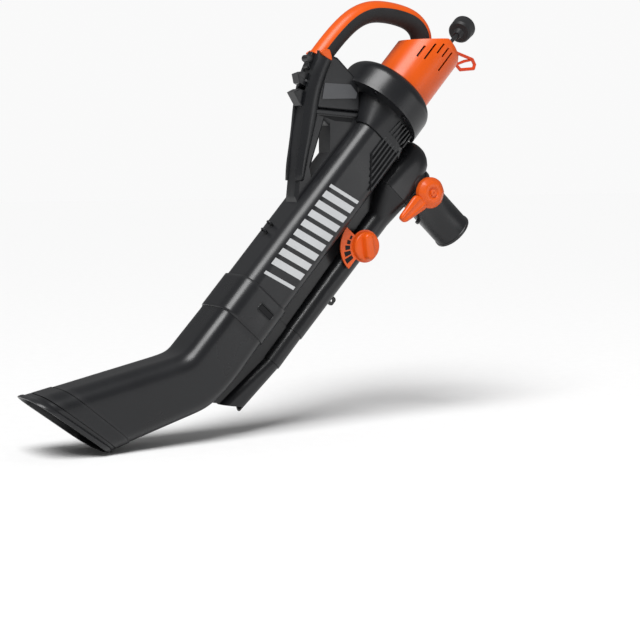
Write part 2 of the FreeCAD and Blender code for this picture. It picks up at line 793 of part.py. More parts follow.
def front_handle():
    """Front handle: the post, its upper arm and its foot on the tube, around a finger opening."""
    body = new_body("FrontHandle")
    outer = outline(new_sketch(body, "XZ_Plane"), [
        ("-142", "288"), ("-58", "354"), ("-49.5", "340"), ("-49.5", "160"), ("-58", "166"),
        ("-74", "188"), ("-102", "226"), ("-126", "262"),
    ])
    extrude(body, "Pad", outer, "2 * post_half", symmetric=True)
    hole = outline(new_sketch(body, "XZ_Plane"), [
        ("-99", "297"), ("-86", "297"), ("-56", "264"), ("-56", "208"), ("-64", "214"),
    ])
    extrude(body, "Pocket", hole, "100", symmetric=True)
    on_side = side_test(size("post_half"))
    round_edges(body, 6.0, lambda edge: on_side(edge) and edge.BoundBox.XMax < -57.5 and edge.BoundBox.XMin < -73)
    hollow = profile("FrontHandleHollow", [
        ("-137", "287"), ("-103", "299"), ("-68", "212"), ("-57", "200"), ("-56", "176"), ("-72", "194"),
        ("-99", "230"), ("-122", "264"),
    ], "2 * (post_half - wall)")
    shell = cut(body, inlet_cone("HandleClear", "0"), hollow)
    return halves("front_handle", shell)


def grip_panels():
    """Soft panel on each side of the post."""
    corners = [("-118", "262"), ("-107", "270"), ("-76", "217"), ("-80", "206"), ("-93", "224")]
    plates = []
    for offset in ("post_half + 1.5", "-(post_half)"):
        body = new_body("GripPanel")
        sketch = outline(new_sketch(body, "XZ_Plane", offset=offset), corners)
        extrude(body, "Pad", sketch, "1.5", reverse=True)
        plates.append(body)
    return node("grip_panels", group("GripPanels", plates))


def front_clip():
    """Strap clip on the front edge of the bridge: a plate, a round button and a short stem."""
    corners = [("-188", "369"), ("-178", "369"), ("-170", "350"), ("-170", "345"), ("-178", "346"), ("-184", "352")]
    plate = profile("ClipPlate", corners, "15")
    round_edges(plate, 1.5, side_test(7.5))
    button = cylinder("6", "17", ("-185", "8.5", "357"), NEAR)
    stem = cylinder("5", "13", ("-176", "6.5", "348"), NEAR)
    return node("front_clip", cut(joined(plate, button, stem), bridge_outline("ClipSeat")))


def switch_parts():
    """Rocker switch in the front of the bridge, its guard and the switch body behind it."""
    rocker = profile("SwitchRocker", [
        ("-186", "321"), ("-180", "332"), ("-170", "335"), ("-158", "331"), ("-158", "317"), ("-173", "312"),
    ], "21")
    round_edges(rocker, 1.5, side_test(10.5))
    pin_hole = cylinder("2.05", "30", ("-167", "15", "323"), NEAR)
    node("switch_rocker", cut(rocker, pin_hole))
    node("switch_pin", plain_pin("SwitchPin", "2", "25", ("-167", "12.5", "323")))
    guard = profile("SwitchGuard", [
        ("-172", "293"), ("-167", "305"), ("-156", "310"), ("-153", "308"), ("-142", "288"), ("-147", "286"),
    ], "24")
    round_edges(guard, 1.5, side_test(12.0))
    node("switch_guard", guard)
    node("switch_body", group("SwitchBody", [block("24", "18", "30", ("-151", "-9", "322"))]))


def plain_pin(name, radius, height, at):
    """A round pin along Y, as a sub-part of its own."""
    return group(name, [cylinder(radius, height, at, NEAR)])


# ---------------------------------------------------------------- valve, spigot and blower tube


def valve_body():
    """Duct from the fan housing down to the blower tube, with the bag spigot branching off it."""
    body = new_body("ValveBody")
    outer = outline(new_sketch(body, "XZ_Plane"), [
        ("49.5", "297"), ("120", "297"), ("120", "372"), ("112", "386"), ("96", "396"), ("49.5", "396"),
    ])
    extrude(body, "Pad", outer, "2 * valve_half", symmetric=True)
    on_side = side_test(size("valve_half"))
    round_edges(body, 15.0, lambda edge: on_side(edge) and edge.BoundBox.ZMax > 298 and edge.BoundBox.XMax > 50)
    spigot = cylinder("spigot_radius", "spigot_end - 112", ("112", "0", "valve_z"), REAR)
    rim = cylinder("spigot_radius + 1.5", "5", ("spigot_end - 5", "0", "valve_z"), REAR)
    hollow = profile("ValveHollow", [
        ("52.5", "296"), ("117", "296"), ("117", "370"), ("109", "384"), ("95", "393"),
        ("36", "393"), ("36", "384"), ("52.5", "384"),
    ], "2 * (valve_half - wall)")
    in_side = side_test(size("valve_half") - size("wall"))
    round_edges(hollow, 12.0, lambda edge: in_side(edge) and edge.BoundBox.ZMax > 297 and edge.BoundBox.XMax > 53)
    bore = cylinder("spigot_radius - wall", "150", ("100", "0", "valve_z"), REAR)
    fan = cylinder("fan_radius", "62", ("fan_x", "0", "fan_floor - 6"))
    pivot = cylinder("4.05", "90", ("lever_x", "45", "valve_z"), NEAR)
    whole = cut(joined(body, spigot, rim), hollow, bore, fan, pivot, inlet_cone("ValveClear", "0"))
    return node("valve_body", whole)


def outlet_pins():
    """Bayonet pins for the bag adapter, above and below the spigot."""
    pins = []
    for side in (1, -1):
        root = Vector(168.0, 0, size("valve_z") + side * (size("spigot_radius") - 1))
        pin = Part.makeCylinder(3.5, 7.0, root, Vector(0, 0, side))
        barrel = Part.makeCylinder(size("spigot_radius"), 60, Vector(140, 0, size("valve_z")), Vector(1, 0, 0))
        pins.append(pin.cut(barrel))
    return node("outlet_pins", shaped("OutletPins", Part.makeCompound(pins)))


def diverter():
    """Flap in the mouth of the spigot, on the shaft that the selector lever turns."""
    disc = cylinder("spigot_radius - wall - 0.5", "3", ("lever_x - 1.5", "0", "valve_z"), REAR)
    hub = cylinder("6.5", "56", ("lever_x", "28", "valve_z"), NEAR)
    bore = cylinder("3.98", "90", ("lever_x", "45", "valve_z"), NEAR)
    node("diverter_flap", cut(joined(disc, hub), bore))
    node("diverter_shaft", plain_pin("DiverterShaft", "3.98", "86", ("lever_x", "38", "valve_z")))


def selector_lever():
    """Two-way lever: a round hub with a tapered arm."""
    hub = cone("lever_radius", "lever_radius - 4", "15", ("lever_x", "-35", "valve_z"), NEAR)
    arm = profile("LeverArm", [
        ("110", "332"), ("109", "276"), ("114", "265"), ("124", "265"), ("129", "276"), ("154", "332"),
    ], "11", y_start="-36")
    dish = cylinder("9", "3", ("lever_x", "-48", "valve_z"), NEAR)
    bore = cylinder("3.98", "30", ("lever_x", "-30", "valve_z"), NEAR)
    node("selector_lever", cut(joined(hub, arm), dish, bore))
    turn = Rotation(Vector(1, 0, 0), 90)
    at = (size("lever_x"), -48.2, size("valve_z"))
    cap = Part.makeCompound([screw(at, turn, 0.1, 6.0, 3.9)])
    return node("lever_screw", shaped("LeverScrew", cap))


def blower_tube():
    """Narrow tube beside the vacuum tube, with the funnel that takes the valve's air."""
    body = new_body("BlowerTube")
    for kind, thin in (("AdditiveLoft", ""), ("SubtractiveLoft", " - 2.4")):
        top = section(body, "34" + thin, "20" + thin, "296.8", "85.2", "33" + thin)
        neck = section(body, "blow_top" + thin, "blow_top - 0.2" + thin, "252", "blow_x")
        foot = section(body, "blow_foot" + thin, "blow_foot - 0.2" + thin, "-2", "blow_x")
        loft(body, kind, [top, neck])
        loft(body, kind, [neck_copy(body, thin), foot])
    socket = circle_at(new_sketch(body, "XY_Plane", offset="-3"), "17.2", "blow_x")
    extrude(body, "Pocket", socket, "23", reverse=True)
    bore = cylinder("2.55", "60", ("blow_x", "20", "knob_z"), NEAR)
    return node("blower_tube", cut(body, bore))


def neck_copy(body, thin):
    return section(body, "blow_top" + thin, "blow_top - 0.2" + thin, "252", "blow_x")


def lower_blower_tube():
    """Lower part of the blower tube, flattened into a slanted outlet behind the nozzle."""
    outer = lower_blower_solid("LowerBlower", 0.0)
    inner = lower_blower_solid("LowerBlowerBore", 2.2)
    return node("lower_blower_tube", cut(outer, inner))


def lower_blower_solid(name, thin):
    body = new_body(name)
    less = " - %.1f" % thin
    reach = 1.0 if thin else 0.0
    top = circle_at(new_sketch(body, "XY_Plane", offset="-66"), "17" + less, "blow_x")
    extrude(body, "Pad", top, str(86 + reach))
    neck = section(body, "15.5" + less, "15.3" + less, "-66", "blow_x")
    heel = section(body, "19" + less, "11" + less, "-192", "82", "12" + less)
    loft(body, "AdditiveLoft", [neck, heel])
    slant = block("90", "60", "60", ("55", "-30", "-255.5"), Rotation(Vector(0, 1, 0), -32.0))
    return body if thin else cut(body, slant)


def webs():
    """Plates that tie the blower tube to the vacuum tube, above and below the collar joint."""
    upper = profile("TubeWeb", [
        ("45.5", "20"), ("50.5", "20"), ("50.5", "-1.8"), ("84", "-1.8"), ("84", "240"), ("60", "290"), ("45.5", "290"),
    ], "6")
    tube = cone("blow_foot + 0.1", "blow_top + 0.1", "254", ("blow_x", "0", "-2"))
    funnel_body = new_body("FunnelClear")
    top = section(funnel_body, "34", "20", "296.8", "85.2", "33")
    neck = section(funnel_body, "blow_top", "blow_top - 0.2", "252", "blow_x")
    loft(funnel_body, "AdditiveLoft", [top, neck])
    node("tube_web", cut(upper, tube, funnel_body))
    lower = profile("LowerWeb", [
        ("49.2", "-6"), ("84", "-6"), ("84", "-150"), ("70", "-174"), ("46", "-188"), ("48.2", "-150"),
        ("48.2", "-66"), ("49.2", "-64"),
    ], "6")
    node("lower_web", cut(lower, lower_blower_solid("WebClear", 0.0)))


def airflow_parts():
    """Airflow knob on its scale plate, turning the throttle disc in the blower tube."""
    base = cone("knob_radius", "knob_radius - 2", "7", ("blow_x", "-28", "knob_z"), NEAR)
    bar = profile("KnobBar", [("79", "186"), ("117", "186"), ("117", "194"), ("79", "194")], "12", y_start="-33")
    round_edges(bar, 2.0, side_test_y(-45.0))
    bore = cylinder("2.48", "20", ("blow_x", "-20", "knob_z"), NEAR)
    turn_about(bar, 40.0)
    node("airflow_knob", cut(joined(base, bar), bore))
    node("throttle_shaft", plain_pin("ThrottleShaft", "2.48", "49", ("blow_x", "15", "knob_z")))
    disc = cylinder("18.2", "2", ("blow_x - 1", "0", "knob_z"), REAR)
    hub = cylinder("4", "24", ("blow_x", "12", "knob_z"), NEAR)
    node("throttle_disc", cut(joined(disc, hub), cylinder("2.48", "60", ("blow_x", "30", "knob_z"), NEAR)))
    round_part = cylinder("knob_radius + 3", "2.5", ("blow_x", "-25", "knob_z"), NEAR)
    sector = Part.makeCylinder(50.0, 2.5, Vector(0, 0, 0), Vector(0, 0, 1), 90)
    sector.Placement = Placement(Vector(size("blow_x"), -25, size("knob_z")), Rotation(Vector(1, 0, 0), 90))
    sector.rotate(Vector(size("blow_x"), 0, size("knob_z")), Vector(0, 1, 0), 180)
    post = cylinder("9", "12", ("blow_x", "-14", "knob_z"), NEAR)
    tube = cone("blow_foot + 0.1", "blow_top + 0.1", "254", ("blow_x", "0", "-2"))
    hole = cylinder("2.55", "60", ("blow_x", "20", "knob_z"), NEAR)
    plate = cut(joined(round_part, post, shaped("ScaleSector", sector)), tube, hole)
    node("scale_plate", plate)


def side_test_y(level):
    def chosen(edge):
        box = edge.BoundBox
        return box.YLength < 0.01 and abs(box.YMin - level) < 0.02
    return chosen


def turn_about(thing, degrees):
    """Turns a knob's bar about the knob's own axis."""
    centre = Vector(size("blow_x"), 0, size("knob_z"))
    turn = Rotation(Vector(0, 1, 0), degrees)
    thing.Placement = Placement(centre.sub(turn.multVec(centre)), turn)


def strap_lug():
    """Small strap lug on the back of the blower tube."""
    pad = Part.makeBox(20, 5, 16, Vector(108, -2.5, 79))
    pad = pad.makeFillet(5.0, [e for e in pad.Edges if e.BoundBox.YLength > 4 and e.BoundBox.XMin > 120])
    hole = Part.makeCylinder(2.5, 20, Vector(122.0, 10, 87), Vector(0, -1, 0))
    lug = shaped("StrapLugPlate", pad.cut(hole))
    tube = cone("blow_foot + 0.1", "blow_top + 0.1", "254", ("blow_x", "0", "-2"))
    return node("strap_lug", cut(lug, tube))


# ---------------------------------------------------------------- latch, cord and fasteners


def latch():
    """Button that locks the lower tube to the upper tube, in the collar's window."""
    face = "tube_half + 3.9"
    body = new_body("LatchButton")
    sketch = outline(new_sketch(body, "XZ_Plane", offset=face), [
        ("-5.6", "-28.6"), ("23.6", "-28.6"), ("23.6", "-18.4"), ("-5.6", "-18.4"),
    ])
    extrude(body, "Pad", sketch, "3.2", reverse=True)
    round_edges(body, 0.8, side_test_y(-value(face)))
    return node("latch_button", body)


CORD = [(9.0, 0.0, 564.0), (9.0, 0.0, 578.5), (11.5, 4.0, 592.5), (16.5, 12.5, 608.0)]


def cord_parts():
    """Short lead: strain relief, cord, plug with its blades, and the retainer hook."""
    relief = turned("StrainRelief", [
        ("0", "541"), ("6", "541"), ("8", "553"), ("9.5", "553"), ("9.5", "559"), ("7", "559"),
        ("5", "564"), ("0", "564"),
    ])
    place_at(relief, ("9", "0", "0"))
    node("strain_relief", joined(relief, cylinder("4", "8", ("9", "0", "544"))))
    points = [Vector(*point) for point in CORD]
    radius = size("cord_radius")
    edges, here = [], points[0]
    for before, corner, after in zip(points, points[1:], points[2:]):
        come, leave = corner.sub(before), after.sub(corner)
        turn = come.getAngle(leave)
        bend = 0.45 * min(come.Length, leave.Length) / math.tan(turn / 2)
        back = bend * math.tan(turn / 2)
        first = corner.sub(come.normalize().multiply(back))
        last = corner.add(leave.normalize().multiply(back))
        inward = leave.sub(come)
        middle = corner.add(inward.normalize().multiply(bend * (1 / math.cos(turn / 2) - 1)))
        edges.append(Part.LineSegment(here, first).toShape())
        edges.append(Part.Arc(first, middle, last).toShape())
        here = last
        print("cord bend radius %.1f" % bend)
    edges.append(Part.LineSegment(here, points[-1]).toShape())
    path = Part.Wire(edges)
    tube = path.makePipeShell([Part.Wire(Part.makeCircle(radius, points[0], Vector(0, 0, 1)))], True, False)
    expected = math.pi * radius ** 2 * path.Length
    print("cord length %.1f, volume %.0f, expected %.0f" % (path.Length, tube.Volume, expected))
    node("power_cord", shaped("PowerCord", tube))
    along = points[-1].sub(points[-2]).normalize()
    seat = Placement(points[-1], Rotation(Vector(0, 0, 1), along))
    plug = turned("PowerPlug", [
        ("0", "0"), ("6", "0"), ("7", "2.5"), ("6.2", "3.5"), ("8", "6.5"), ("7.2", "7.5"), ("9.5", "11"),
        ("17.5", "13"), ("20.5", "17"), ("21.5", "39"), ("19", "42"), ("0", "42"),
    ])
    node("power_plug", plug, seat)
    blades = []
    for side in (-1, 1):
        blade = Part.makeBox(1.5, 6.3, 17.0, Vector(side * 6.35 - 0.75, -3.15, 42.0))
        blades.append(blade)
    node("plug_blades", shaped("PlugBlades", Part.makeCompound(blades)), seat)
    node("cord_hook", shaped("CordHook", cord_hook()))


def rods(points, radius, closed):
    """Round rods between the points, with a ball at each."""
    shapes = [Part.makeSphere(radius, point) for point in points]
    following = points[1:] + points[:1] if closed else points[1:]
    for start, finish in zip(points, following):
        shapes.append(Part.makeCylinder(radius, finish.sub(start).Length, start, finish.sub(start)))
    return shapes


def cord_hook():
    """Ring round the lead with an open loop that takes the extension cord."""
    ring = Part.makeTorus(6.4, 2.2, Vector(9, 0, 570))
    frame = [(38, 12, 586), (74, 20, 606), (84, 20, 603), (87, 20, 596), (66, 18, 573), (52, 16, 572)]
    frame = [Vector(*point) for point in frame]
    shapes = rods(frame, 2.2, True)
    shapes += rods([Vector(14.8, 2.5, 571), frame[0]], 2.4, False)
    shapes += rods([frame[5], Vector(62, 18, 590), frame[1]], 1.8, False)
    return ring.fuse(shapes)


def fasteners():
    """Screws of the bridge and the front handle, driven from the far side, and of the fan housing."""
    away = Rotation(Vector(1, 0, 0), -90)
    bridge = [screw((x, 20.0, z), away, 16.0, 3.2, 1.6) for x, z in ((-160, 370), (-116, 352), (-134, 306))]
    handle = [screw((x, 18.0, z), away, 14.0, 3.2, 1.6) for x, z in ((-116, 268), (-82, 216))]
    node("bridge_screws", shaped("BridgeScrews", Part.makeCompound(bridge)))
    node("handle_screws", shaped("HandleScrews", Part.makeCompound(handle)))
    ring = []
    for angle in (-130, -80, -40, 40, 80, 130):
        turned_to = math.radians(angle)
        across = size("fan_x") + 74 * math.cos(turned_to)
        at = (across, 74 * math.sin(turned_to), size("fan_floor") - 6.1)
        ring.append(screw(at, Rotation(Vector(1, 0, 0), 180), 0.1, 3.6, 1.8))
    node("housing_screws", shaped("HousingScrews", Part.makeCompound(ring)))


# ---------------------------------------------------------------- the whole machine

upper_tube()
tube_hooks()
lower_tube()
fan_housing_lower()
fan_housing_upper()
motor_cover()
louvre_panel()
motor_shaft()
armature()
commutator()
cooling_fan()
impeller()
impeller_nut()
bearing("lower_bearing", 417)
bearing("upper_bearing", 534)
motor_frame()
stator_core()
stator_coils()
brush_gear()
loop_handle()
bridge_housing()
bridge_panels()
front_clip()
front_handle()
grip_panels()
switch_parts()
valve_body()
outlet_pins()
diverter()
selector_lever()
blower_tube()
lower_blower_tube()
webs()
airflow_parts()
strap_lug()
latch()
cord_parts()
fasteners()

doc.recompute()
bad = [item.Label for item in doc.Objects if "Invalid" in item.State or "Error" in item.State]
if bad:
    raise RuntimeError("failed objects: " + ", ".join(bad))
for label, thing in nodes.items():
    if thing.Shape.isNull() or not thing.Shape.isValid():
        raise RuntimeError("bad shape: " + label)
os.makedirs("parts", exist_ok=True)
for label, thing in nodes.items():
    thing.Shape.exportStep("parts/%s.step" % label)
    print("%-22s solids %d volume %.0f" % (label, len(thing.Shape.Solids), thing.Shape.Volume))
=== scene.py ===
import json
import math

import bpy
import numpy as np
from mathutils import Matrix, Vector


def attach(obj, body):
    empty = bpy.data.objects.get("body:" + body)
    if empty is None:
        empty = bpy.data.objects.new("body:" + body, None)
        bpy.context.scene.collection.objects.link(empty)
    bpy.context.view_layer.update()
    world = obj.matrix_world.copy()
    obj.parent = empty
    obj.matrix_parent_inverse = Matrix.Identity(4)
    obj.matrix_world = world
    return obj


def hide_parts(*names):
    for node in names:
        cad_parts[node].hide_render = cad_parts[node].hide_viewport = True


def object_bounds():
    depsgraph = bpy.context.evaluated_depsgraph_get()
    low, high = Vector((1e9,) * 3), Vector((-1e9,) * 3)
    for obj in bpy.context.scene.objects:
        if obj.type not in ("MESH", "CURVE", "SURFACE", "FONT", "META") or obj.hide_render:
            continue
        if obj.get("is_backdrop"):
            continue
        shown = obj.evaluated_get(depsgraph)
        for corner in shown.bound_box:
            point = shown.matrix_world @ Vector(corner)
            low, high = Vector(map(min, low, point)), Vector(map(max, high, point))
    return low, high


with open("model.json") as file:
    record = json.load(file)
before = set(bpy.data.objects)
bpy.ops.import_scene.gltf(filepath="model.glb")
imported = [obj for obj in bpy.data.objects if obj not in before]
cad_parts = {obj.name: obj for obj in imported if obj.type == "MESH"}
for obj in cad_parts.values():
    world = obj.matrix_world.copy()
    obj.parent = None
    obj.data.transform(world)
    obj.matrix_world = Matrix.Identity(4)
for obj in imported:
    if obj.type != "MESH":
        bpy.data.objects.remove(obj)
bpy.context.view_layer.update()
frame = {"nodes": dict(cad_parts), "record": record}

# The machine is drawn in the suction tube's own frame, in millimetres: +Z runs up the tube towards
# the motor, -X is the side of the front handle, +X that of the blower tube, -Y that of the controls.
SLOPE = math.radians(42.0)
GRIP = Vector((-157.0, 0.0, 488.0))
TIP = Matrix.Rotation(SLOPE, 4, "Y")
MACHINE = Matrix.Scale(0.001, 4) @ TIP @ Matrix.Translation(-GRIP)

TUBE_X = -2.0
TUBE_HALF = 47.5
TUBE_CORNER = 24.0
WALL = 3.0
PLAY = 0.3
BRIDGE_HALF = 20.0
POST_HALF = 18.0
BLOW_X = 98.0
KNOB_Z = 190.0
KNOB_FACE = -28.0
LEVER_X = 132.0
LEVER_FACE = -35.0
VALVE_X = 84.9
VALVE_Z = 341.0
SPIGOT_ROOT = 99.0
SPIGOT_END = 238.0
SPIGOT_RADIUS = 34.0
SPIGOT_BORE = 31.2
CORD = [(9.0, 0.0, 564.0), (9.0, 0.0, 578.5), (11.5, 4.0, 592.5), (16.5, 12.5, 608.0)]
CORD_DIAMETER = 0.007


def at(x, y, z):
    """A point of the tube's frame, in the world, in metres."""
    return MACHINE @ Vector((x, y, z))


# ---------------------------------------------------------------- materials


class Nodes:
    """Short names for building a node material."""

    def __init__(self, name):
        self.material = bpy.data.materials.new(name)
        self.material.use_nodes = True
        self.tree = self.material.node_tree
        self.shader = self.tree.nodes["Principled BSDF"]
        self.place = self.tree.nodes.new("ShaderNodeTexCoord").outputs["Object"]

    def new(self, kind, **sockets):
        made = self.tree.nodes.new("ShaderNode" + kind)
        for name, value in sockets.items():
            made.inputs[name.replace("_", " ")].default_value = value
        return made

    def link(self, start, finish):
        self.tree.links.new(start, finish)

    def noise(self, scale, detail):
        made = self.new("TexNoise", Scale=scale, Detail=detail, Roughness=0.55)
        self.link(self.place, made.inputs["Vector"])
        return made.outputs["Fac"]

    def between(self, source, low, high, start=0.0, finish=1.0):
        """Maps source from start..finish to low..high."""
        made = self.tree.nodes.new("ShaderNodeMapRange")
        for name, value in zip(("From Min", "From Max", "To Min", "To Max"), (start, finish, low, high)):
            made.inputs[name].default_value = value
        self.link(source, made.inputs["Value"])
        return made.outputs["Result"]

    def blend(self, factor, first, second):
        """Mixes two colours, each a colour or a socket."""
        made = self.tree.nodes.new("ShaderNodeMix")
        made.data_type = "RGBA"
        self.link(factor, made.inputs[0])
        for socket, colour in ((made.inputs[6], first), (made.inputs[7], second)):
            if isinstance(colour, tuple):
                socket.default_value = (*colour, 1.0)
            else:
                self.link(colour, socket)
        return made.outputs[2]

    def bumps(self, *layers):
        """Bump layers, each a height socket, a strength and a depth in metres."""
        normal = None
        for height, strength, depth in layers:
            made = self.new("Bump", Strength=strength, Distance=depth)
            self.link(height, made.inputs["Height"])
            if normal:
                self.link(normal, made.inputs["Normal"])
            normal = made.outputs["Normal"]
        self.link(normal, self.shader.inputs["Normal"])


def tinted(colour, share):
    return tuple(min(1.0, part * share) for part in colour)


def plastic(name, colour, rough, grain, wear, grain_scale=1500.0, coat=0.0, shine=0.5):
    """Moulded plastic: fine spark-eroded grain, faint flow marks, dust and paler edges."""
    nodes = Nodes(name)
    grain_map = nodes.noise(grain_scale, 3.0)
    flow = nodes.noise(9.0, 5.0)
    specks = nodes.noise(240.0, 2.0)
    geometry = nodes.tree.nodes.new("ShaderNodeNewGeometry")
    edges = nodes.between(geometry.outputs["Pointiness"], 0.0, wear, 0.52, 0.62)
    body = nodes.blend(nodes.between(flow, 0.0, 1.0, 0.3, 0.7), tinted(colour, 0.9), tinted(colour, 1.1))
    dusty = nodes.blend(nodes.between(specks, 0.0, 0.25, 0.62, 0.8), body, tinted(colour, 1.5))
    paler = tuple(part * 0.8 + 0.06 for part in tinted(colour, 1.3))
    worn = nodes.blend(edges, dusty, paler)
    nodes.link(worn, nodes.shader.inputs["Base Color"])
    nodes.link(nodes.between(flow, rough - 0.05, rough + 0.07, 0.3, 0.7), nodes.shader.inputs["Roughness"])
    nodes.bumps((flow, 0.15, 0.0006), (grain_map, grain, 0.00012))
    nodes.shader.inputs["Specular IOR Level"].default_value = shine
    nodes.shader.inputs["Coat Weight"].default_value = coat
    nodes.shader.inputs["Coat Roughness"].default_value = 0.2
    return nodes.material


def rubber(name, colour, rough=0.62, dots=900.0):
    """Soft overmould: matte, with a fine pebbled grain."""
    nodes = Nodes(name)
    pebbles = nodes.tree.nodes.new("ShaderNodeTexVoronoi")
    pebbles.inputs["Scale"].default_value = dots
    nodes.link(nodes.place, pebbles.inputs["Vector"])
    cloud = nodes.noise(30.0, 4.0)
    body = nodes.blend(nodes.between(cloud, 0.0, 1.0, 0.3, 0.7), tinted(colour, 0.8), tinted(colour, 1.35))
    nodes.link(body, nodes.shader.inputs["Base Color"])
    nodes.link(nodes.between(cloud, rough - 0.06, rough + 0.1, 0.3, 0.7), nodes.shader.inputs["Roughness"])
    nodes.bumps((cloud, 0.1, 0.0004), (pebbles.outputs["Distance"], 0.35, 0.0001))
    nodes.shader.inputs["Sheen Weight"].default_value = 0.05
    nodes.shader.inputs["Specular IOR Level"].default_value = 0.3
    return nodes.material


def metal(name, colour, rough, streaks=700.0):
    """Machined or drawn metal with fine streaks and slight staining."""
    nodes = Nodes(name)
    stretched = nodes.tree.nodes.new("ShaderNodeMapping")
    stretched.inputs["Scale"].default_value = (1.0, 1.0, 0.06)
    nodes.link(nodes.place, stretched.inputs["Vector"])
    lines = nodes.new("TexNoise", Scale=streaks, Detail=3.0)
    nodes.link(stretched.outputs["Vector"], lines.inputs["Vector"])
    stain = nodes.noise(60.0, 5.0)
    body = nodes.blend(nodes.between(stain, 0.0, 1.0, 0.35, 0.7), tinted(colour, 0.75), colour)
    nodes.link(body, nodes.shader.inputs["Base Color"])
    nodes.link(nodes.between(lines.outputs["Fac"], rough - 0.08, rough + 0.12),
               nodes.shader.inputs["Roughness"])
    nodes.bumps((lines.outputs["Fac"], 0.2, 0.00008))
    nodes.shader.inputs["Metallic"].default_value = 1.0
    return nodes.material


BLACK = plastic("black_moulding", (0.0115, 0.012, 0.0135), 0.31, 0.2, 0.3, shine=0.38)
BLACK_SHARP = plastic("black_ribs", (0.009, 0.0095, 0.011), 0.32, 0.25, 0.5, shine=0.38)
ORANGE = plastic("orange_moulding", (0.70, 0.092, 0.005), 0.32, 0.12, 0.15, coat=0.06, shine=0.3)
HOOK = plastic("hook_moulding", (0.66, 0.052, 0.005), 0.32, 0.12, 0.15, coat=0.06, shine=0.3)
PANEL = plastic("grey_panel", (0.075, 0.077, 0.082), 0.45, 0.5, 0.4, 900.0, shine=0.35)
SILVER = plastic("silver_print", (0.50, 0.51, 0.52), 0.34, 0.15, 0.1)
# Flat near-black. It is real print on the scale and the post seam, and painted shade where it stands in for
# dark recesses: the latch window, the louvre opening and the bridge slot.
PRINT_AND_SHADE = plastic("black_print_and_painted_shade", (0.008, 0.008, 0.009), 0.5, 0.1, 0.1, shine=0.2)
GRIP_RUBBER = rubber("grip_rubber", (0.014, 0.014, 0.015))
CORD_RUBBER = rubber("cord_rubber", (0.012, 0.012, 0.013), 0.5, 1400.0)
STEEL = metal("steel", (0.55, 0.55, 0.56), 0.32)
BLACKED = metal("blacked_steel", (0.05, 0.05, 0.055), 0.4)
COPPER = metal("copper", (0.75, 0.36, 0.2), 0.35)
ALLOY = metal("cast_alloy", (0.7, 0.71, 0.73), 0.42, 300.0)
BRASS = metal("brass", (0.78, 0.58, 0.27), 0.25)
CARBON = rubber("carbon", (0.02, 0.02, 0.022), 0.7, 700.0)

BY_SLOT = {
    "black_plastic": BLACK, "orange_plastic": ORANGE, "soft_grip": GRIP_RUBBER, "panel_grey": PANEL,
    "hook_orange": HOOK, "steel": STEEL, "copper": COPPER, "aluminium": ALLOY, "carbon": CARBON,
    "brass": BRASS, "cord_rubber": CORD_RUBBER,
}
# Nodes whose material differs from the one of their slot.
OWN_MATERIAL = {
    "switch_rocker": BLACK_SHARP, "switch_guard": BLACK_SHARP, "front_clip": BLACK_SHARP,
    "bridge_screws": BLACKED, "handle_screws": BLACKED, "housing_screws": BLACKED, "lever_screw": ORANGE,
    # The latch button takes the near-black as painted shade, so that the latch window reads as a dark
    # recess.
    "latch_button": PRINT_AND_SHADE,
}
# Small nodes that keep their edges as they are.
SEALED = ("bridge_screws", "handle_screws", "housing_screws", "switch_pin")


# ---------------------------------------------------------------- frame nodes


def add_modifier(thing, kind, **settings):
    made = thing.modifiers.new(kind.title(), kind)
    for name, value in settings.items():
        setattr(made, name, value)
    return made


def smooth(thing, bevel=0.0, angle=32.0):
    """Rounds the sharp edges a little and shades the curved faces smoothly."""
    for face in thing.data.polygons:
        face.use_smooth = True
    stored = thing.data.attributes.get("custom_normal")
    if stored:
        thing.data.attributes.remove(stored)
    add_modifier(thing, "WELD", merge_threshold=0.00002)
    if bevel:
        add_modifier(thing, "BEVEL", width=bevel, segments=2, limit_method="ANGLE",
                     angle_limit=math.radians(angle), use_clamp_overlap=True, miter_outer="MITER_ARC")
    add_modifier(thing, "EDGE_SPLIT", split_angle=math.radians(angle + 12.0))
    add_modifier(thing, "WEIGHTED_NORMAL", weight=60)


def dress_frame():
    """Gives every node of the frame its material and soft edges."""
    slots = {part["node"]: part["material_slot"] for part in frame["record"]["subparts"]}
    for name, thing in frame["nodes"].items():
        material = OWN_MATERIAL.get(name, BY_SLOT[slots[name]])
        thing.data.materials.clear()
        thing.data.materials.append(material)
        smooth(thing, 0.0 if name in SEALED else 0.0005)
    hook = frame["nodes"]["cord_hook"]
    add_modifier(hook, "DISPLACE", strength=0.0008, mid_level=0.0)
    hook.modifiers.move(len(hook.modifiers) - 1, 1)


# ---------------------------------------------------------------- mesh helpers


def piece(name, points, faces, material, body, replaces=(), shade=True):
    """A mesh piece from points in the tube's frame, riding on a body of the frame."""
    mesh = bpy.data.meshes.new(name)
    mesh.from_pydata([at(*point) for point in points], [], faces)
    mesh.validate()
    thing = bpy.data.objects.new(name, mesh)
    bpy.context.scene.collection.objects.link(thing)
    mesh.materials.append(material)
    for face in mesh.polygons:
        face.use_smooth = shade
    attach(thing, body)
    if replaces:
        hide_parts(*replaces)
    return thing


def ring_faces(rings, count, closed_start=False, closed_end=False, looped=False):
    """Quads between rings of count points each, with caps or a way back to the first where asked."""
    faces = []
    for ring in range(rings - 1):
        for index in range(count):
            following = (index + 1) % count
            faces.append((ring * count + index, ring * count + following,
                          (ring + 1) * count + following, (ring + 1) * count + index))
    if closed_start:
        faces.append(tuple(range(count))[::-1])
    if closed_end:
        faces.append(tuple((rings - 1) * count + index for index in range(count)))
    if looped:
        last = (rings - 1) * count
        for index in range(count):
            following = (index + 1) % count
            faces.append((last + index, last + following, following, index))
    return faces


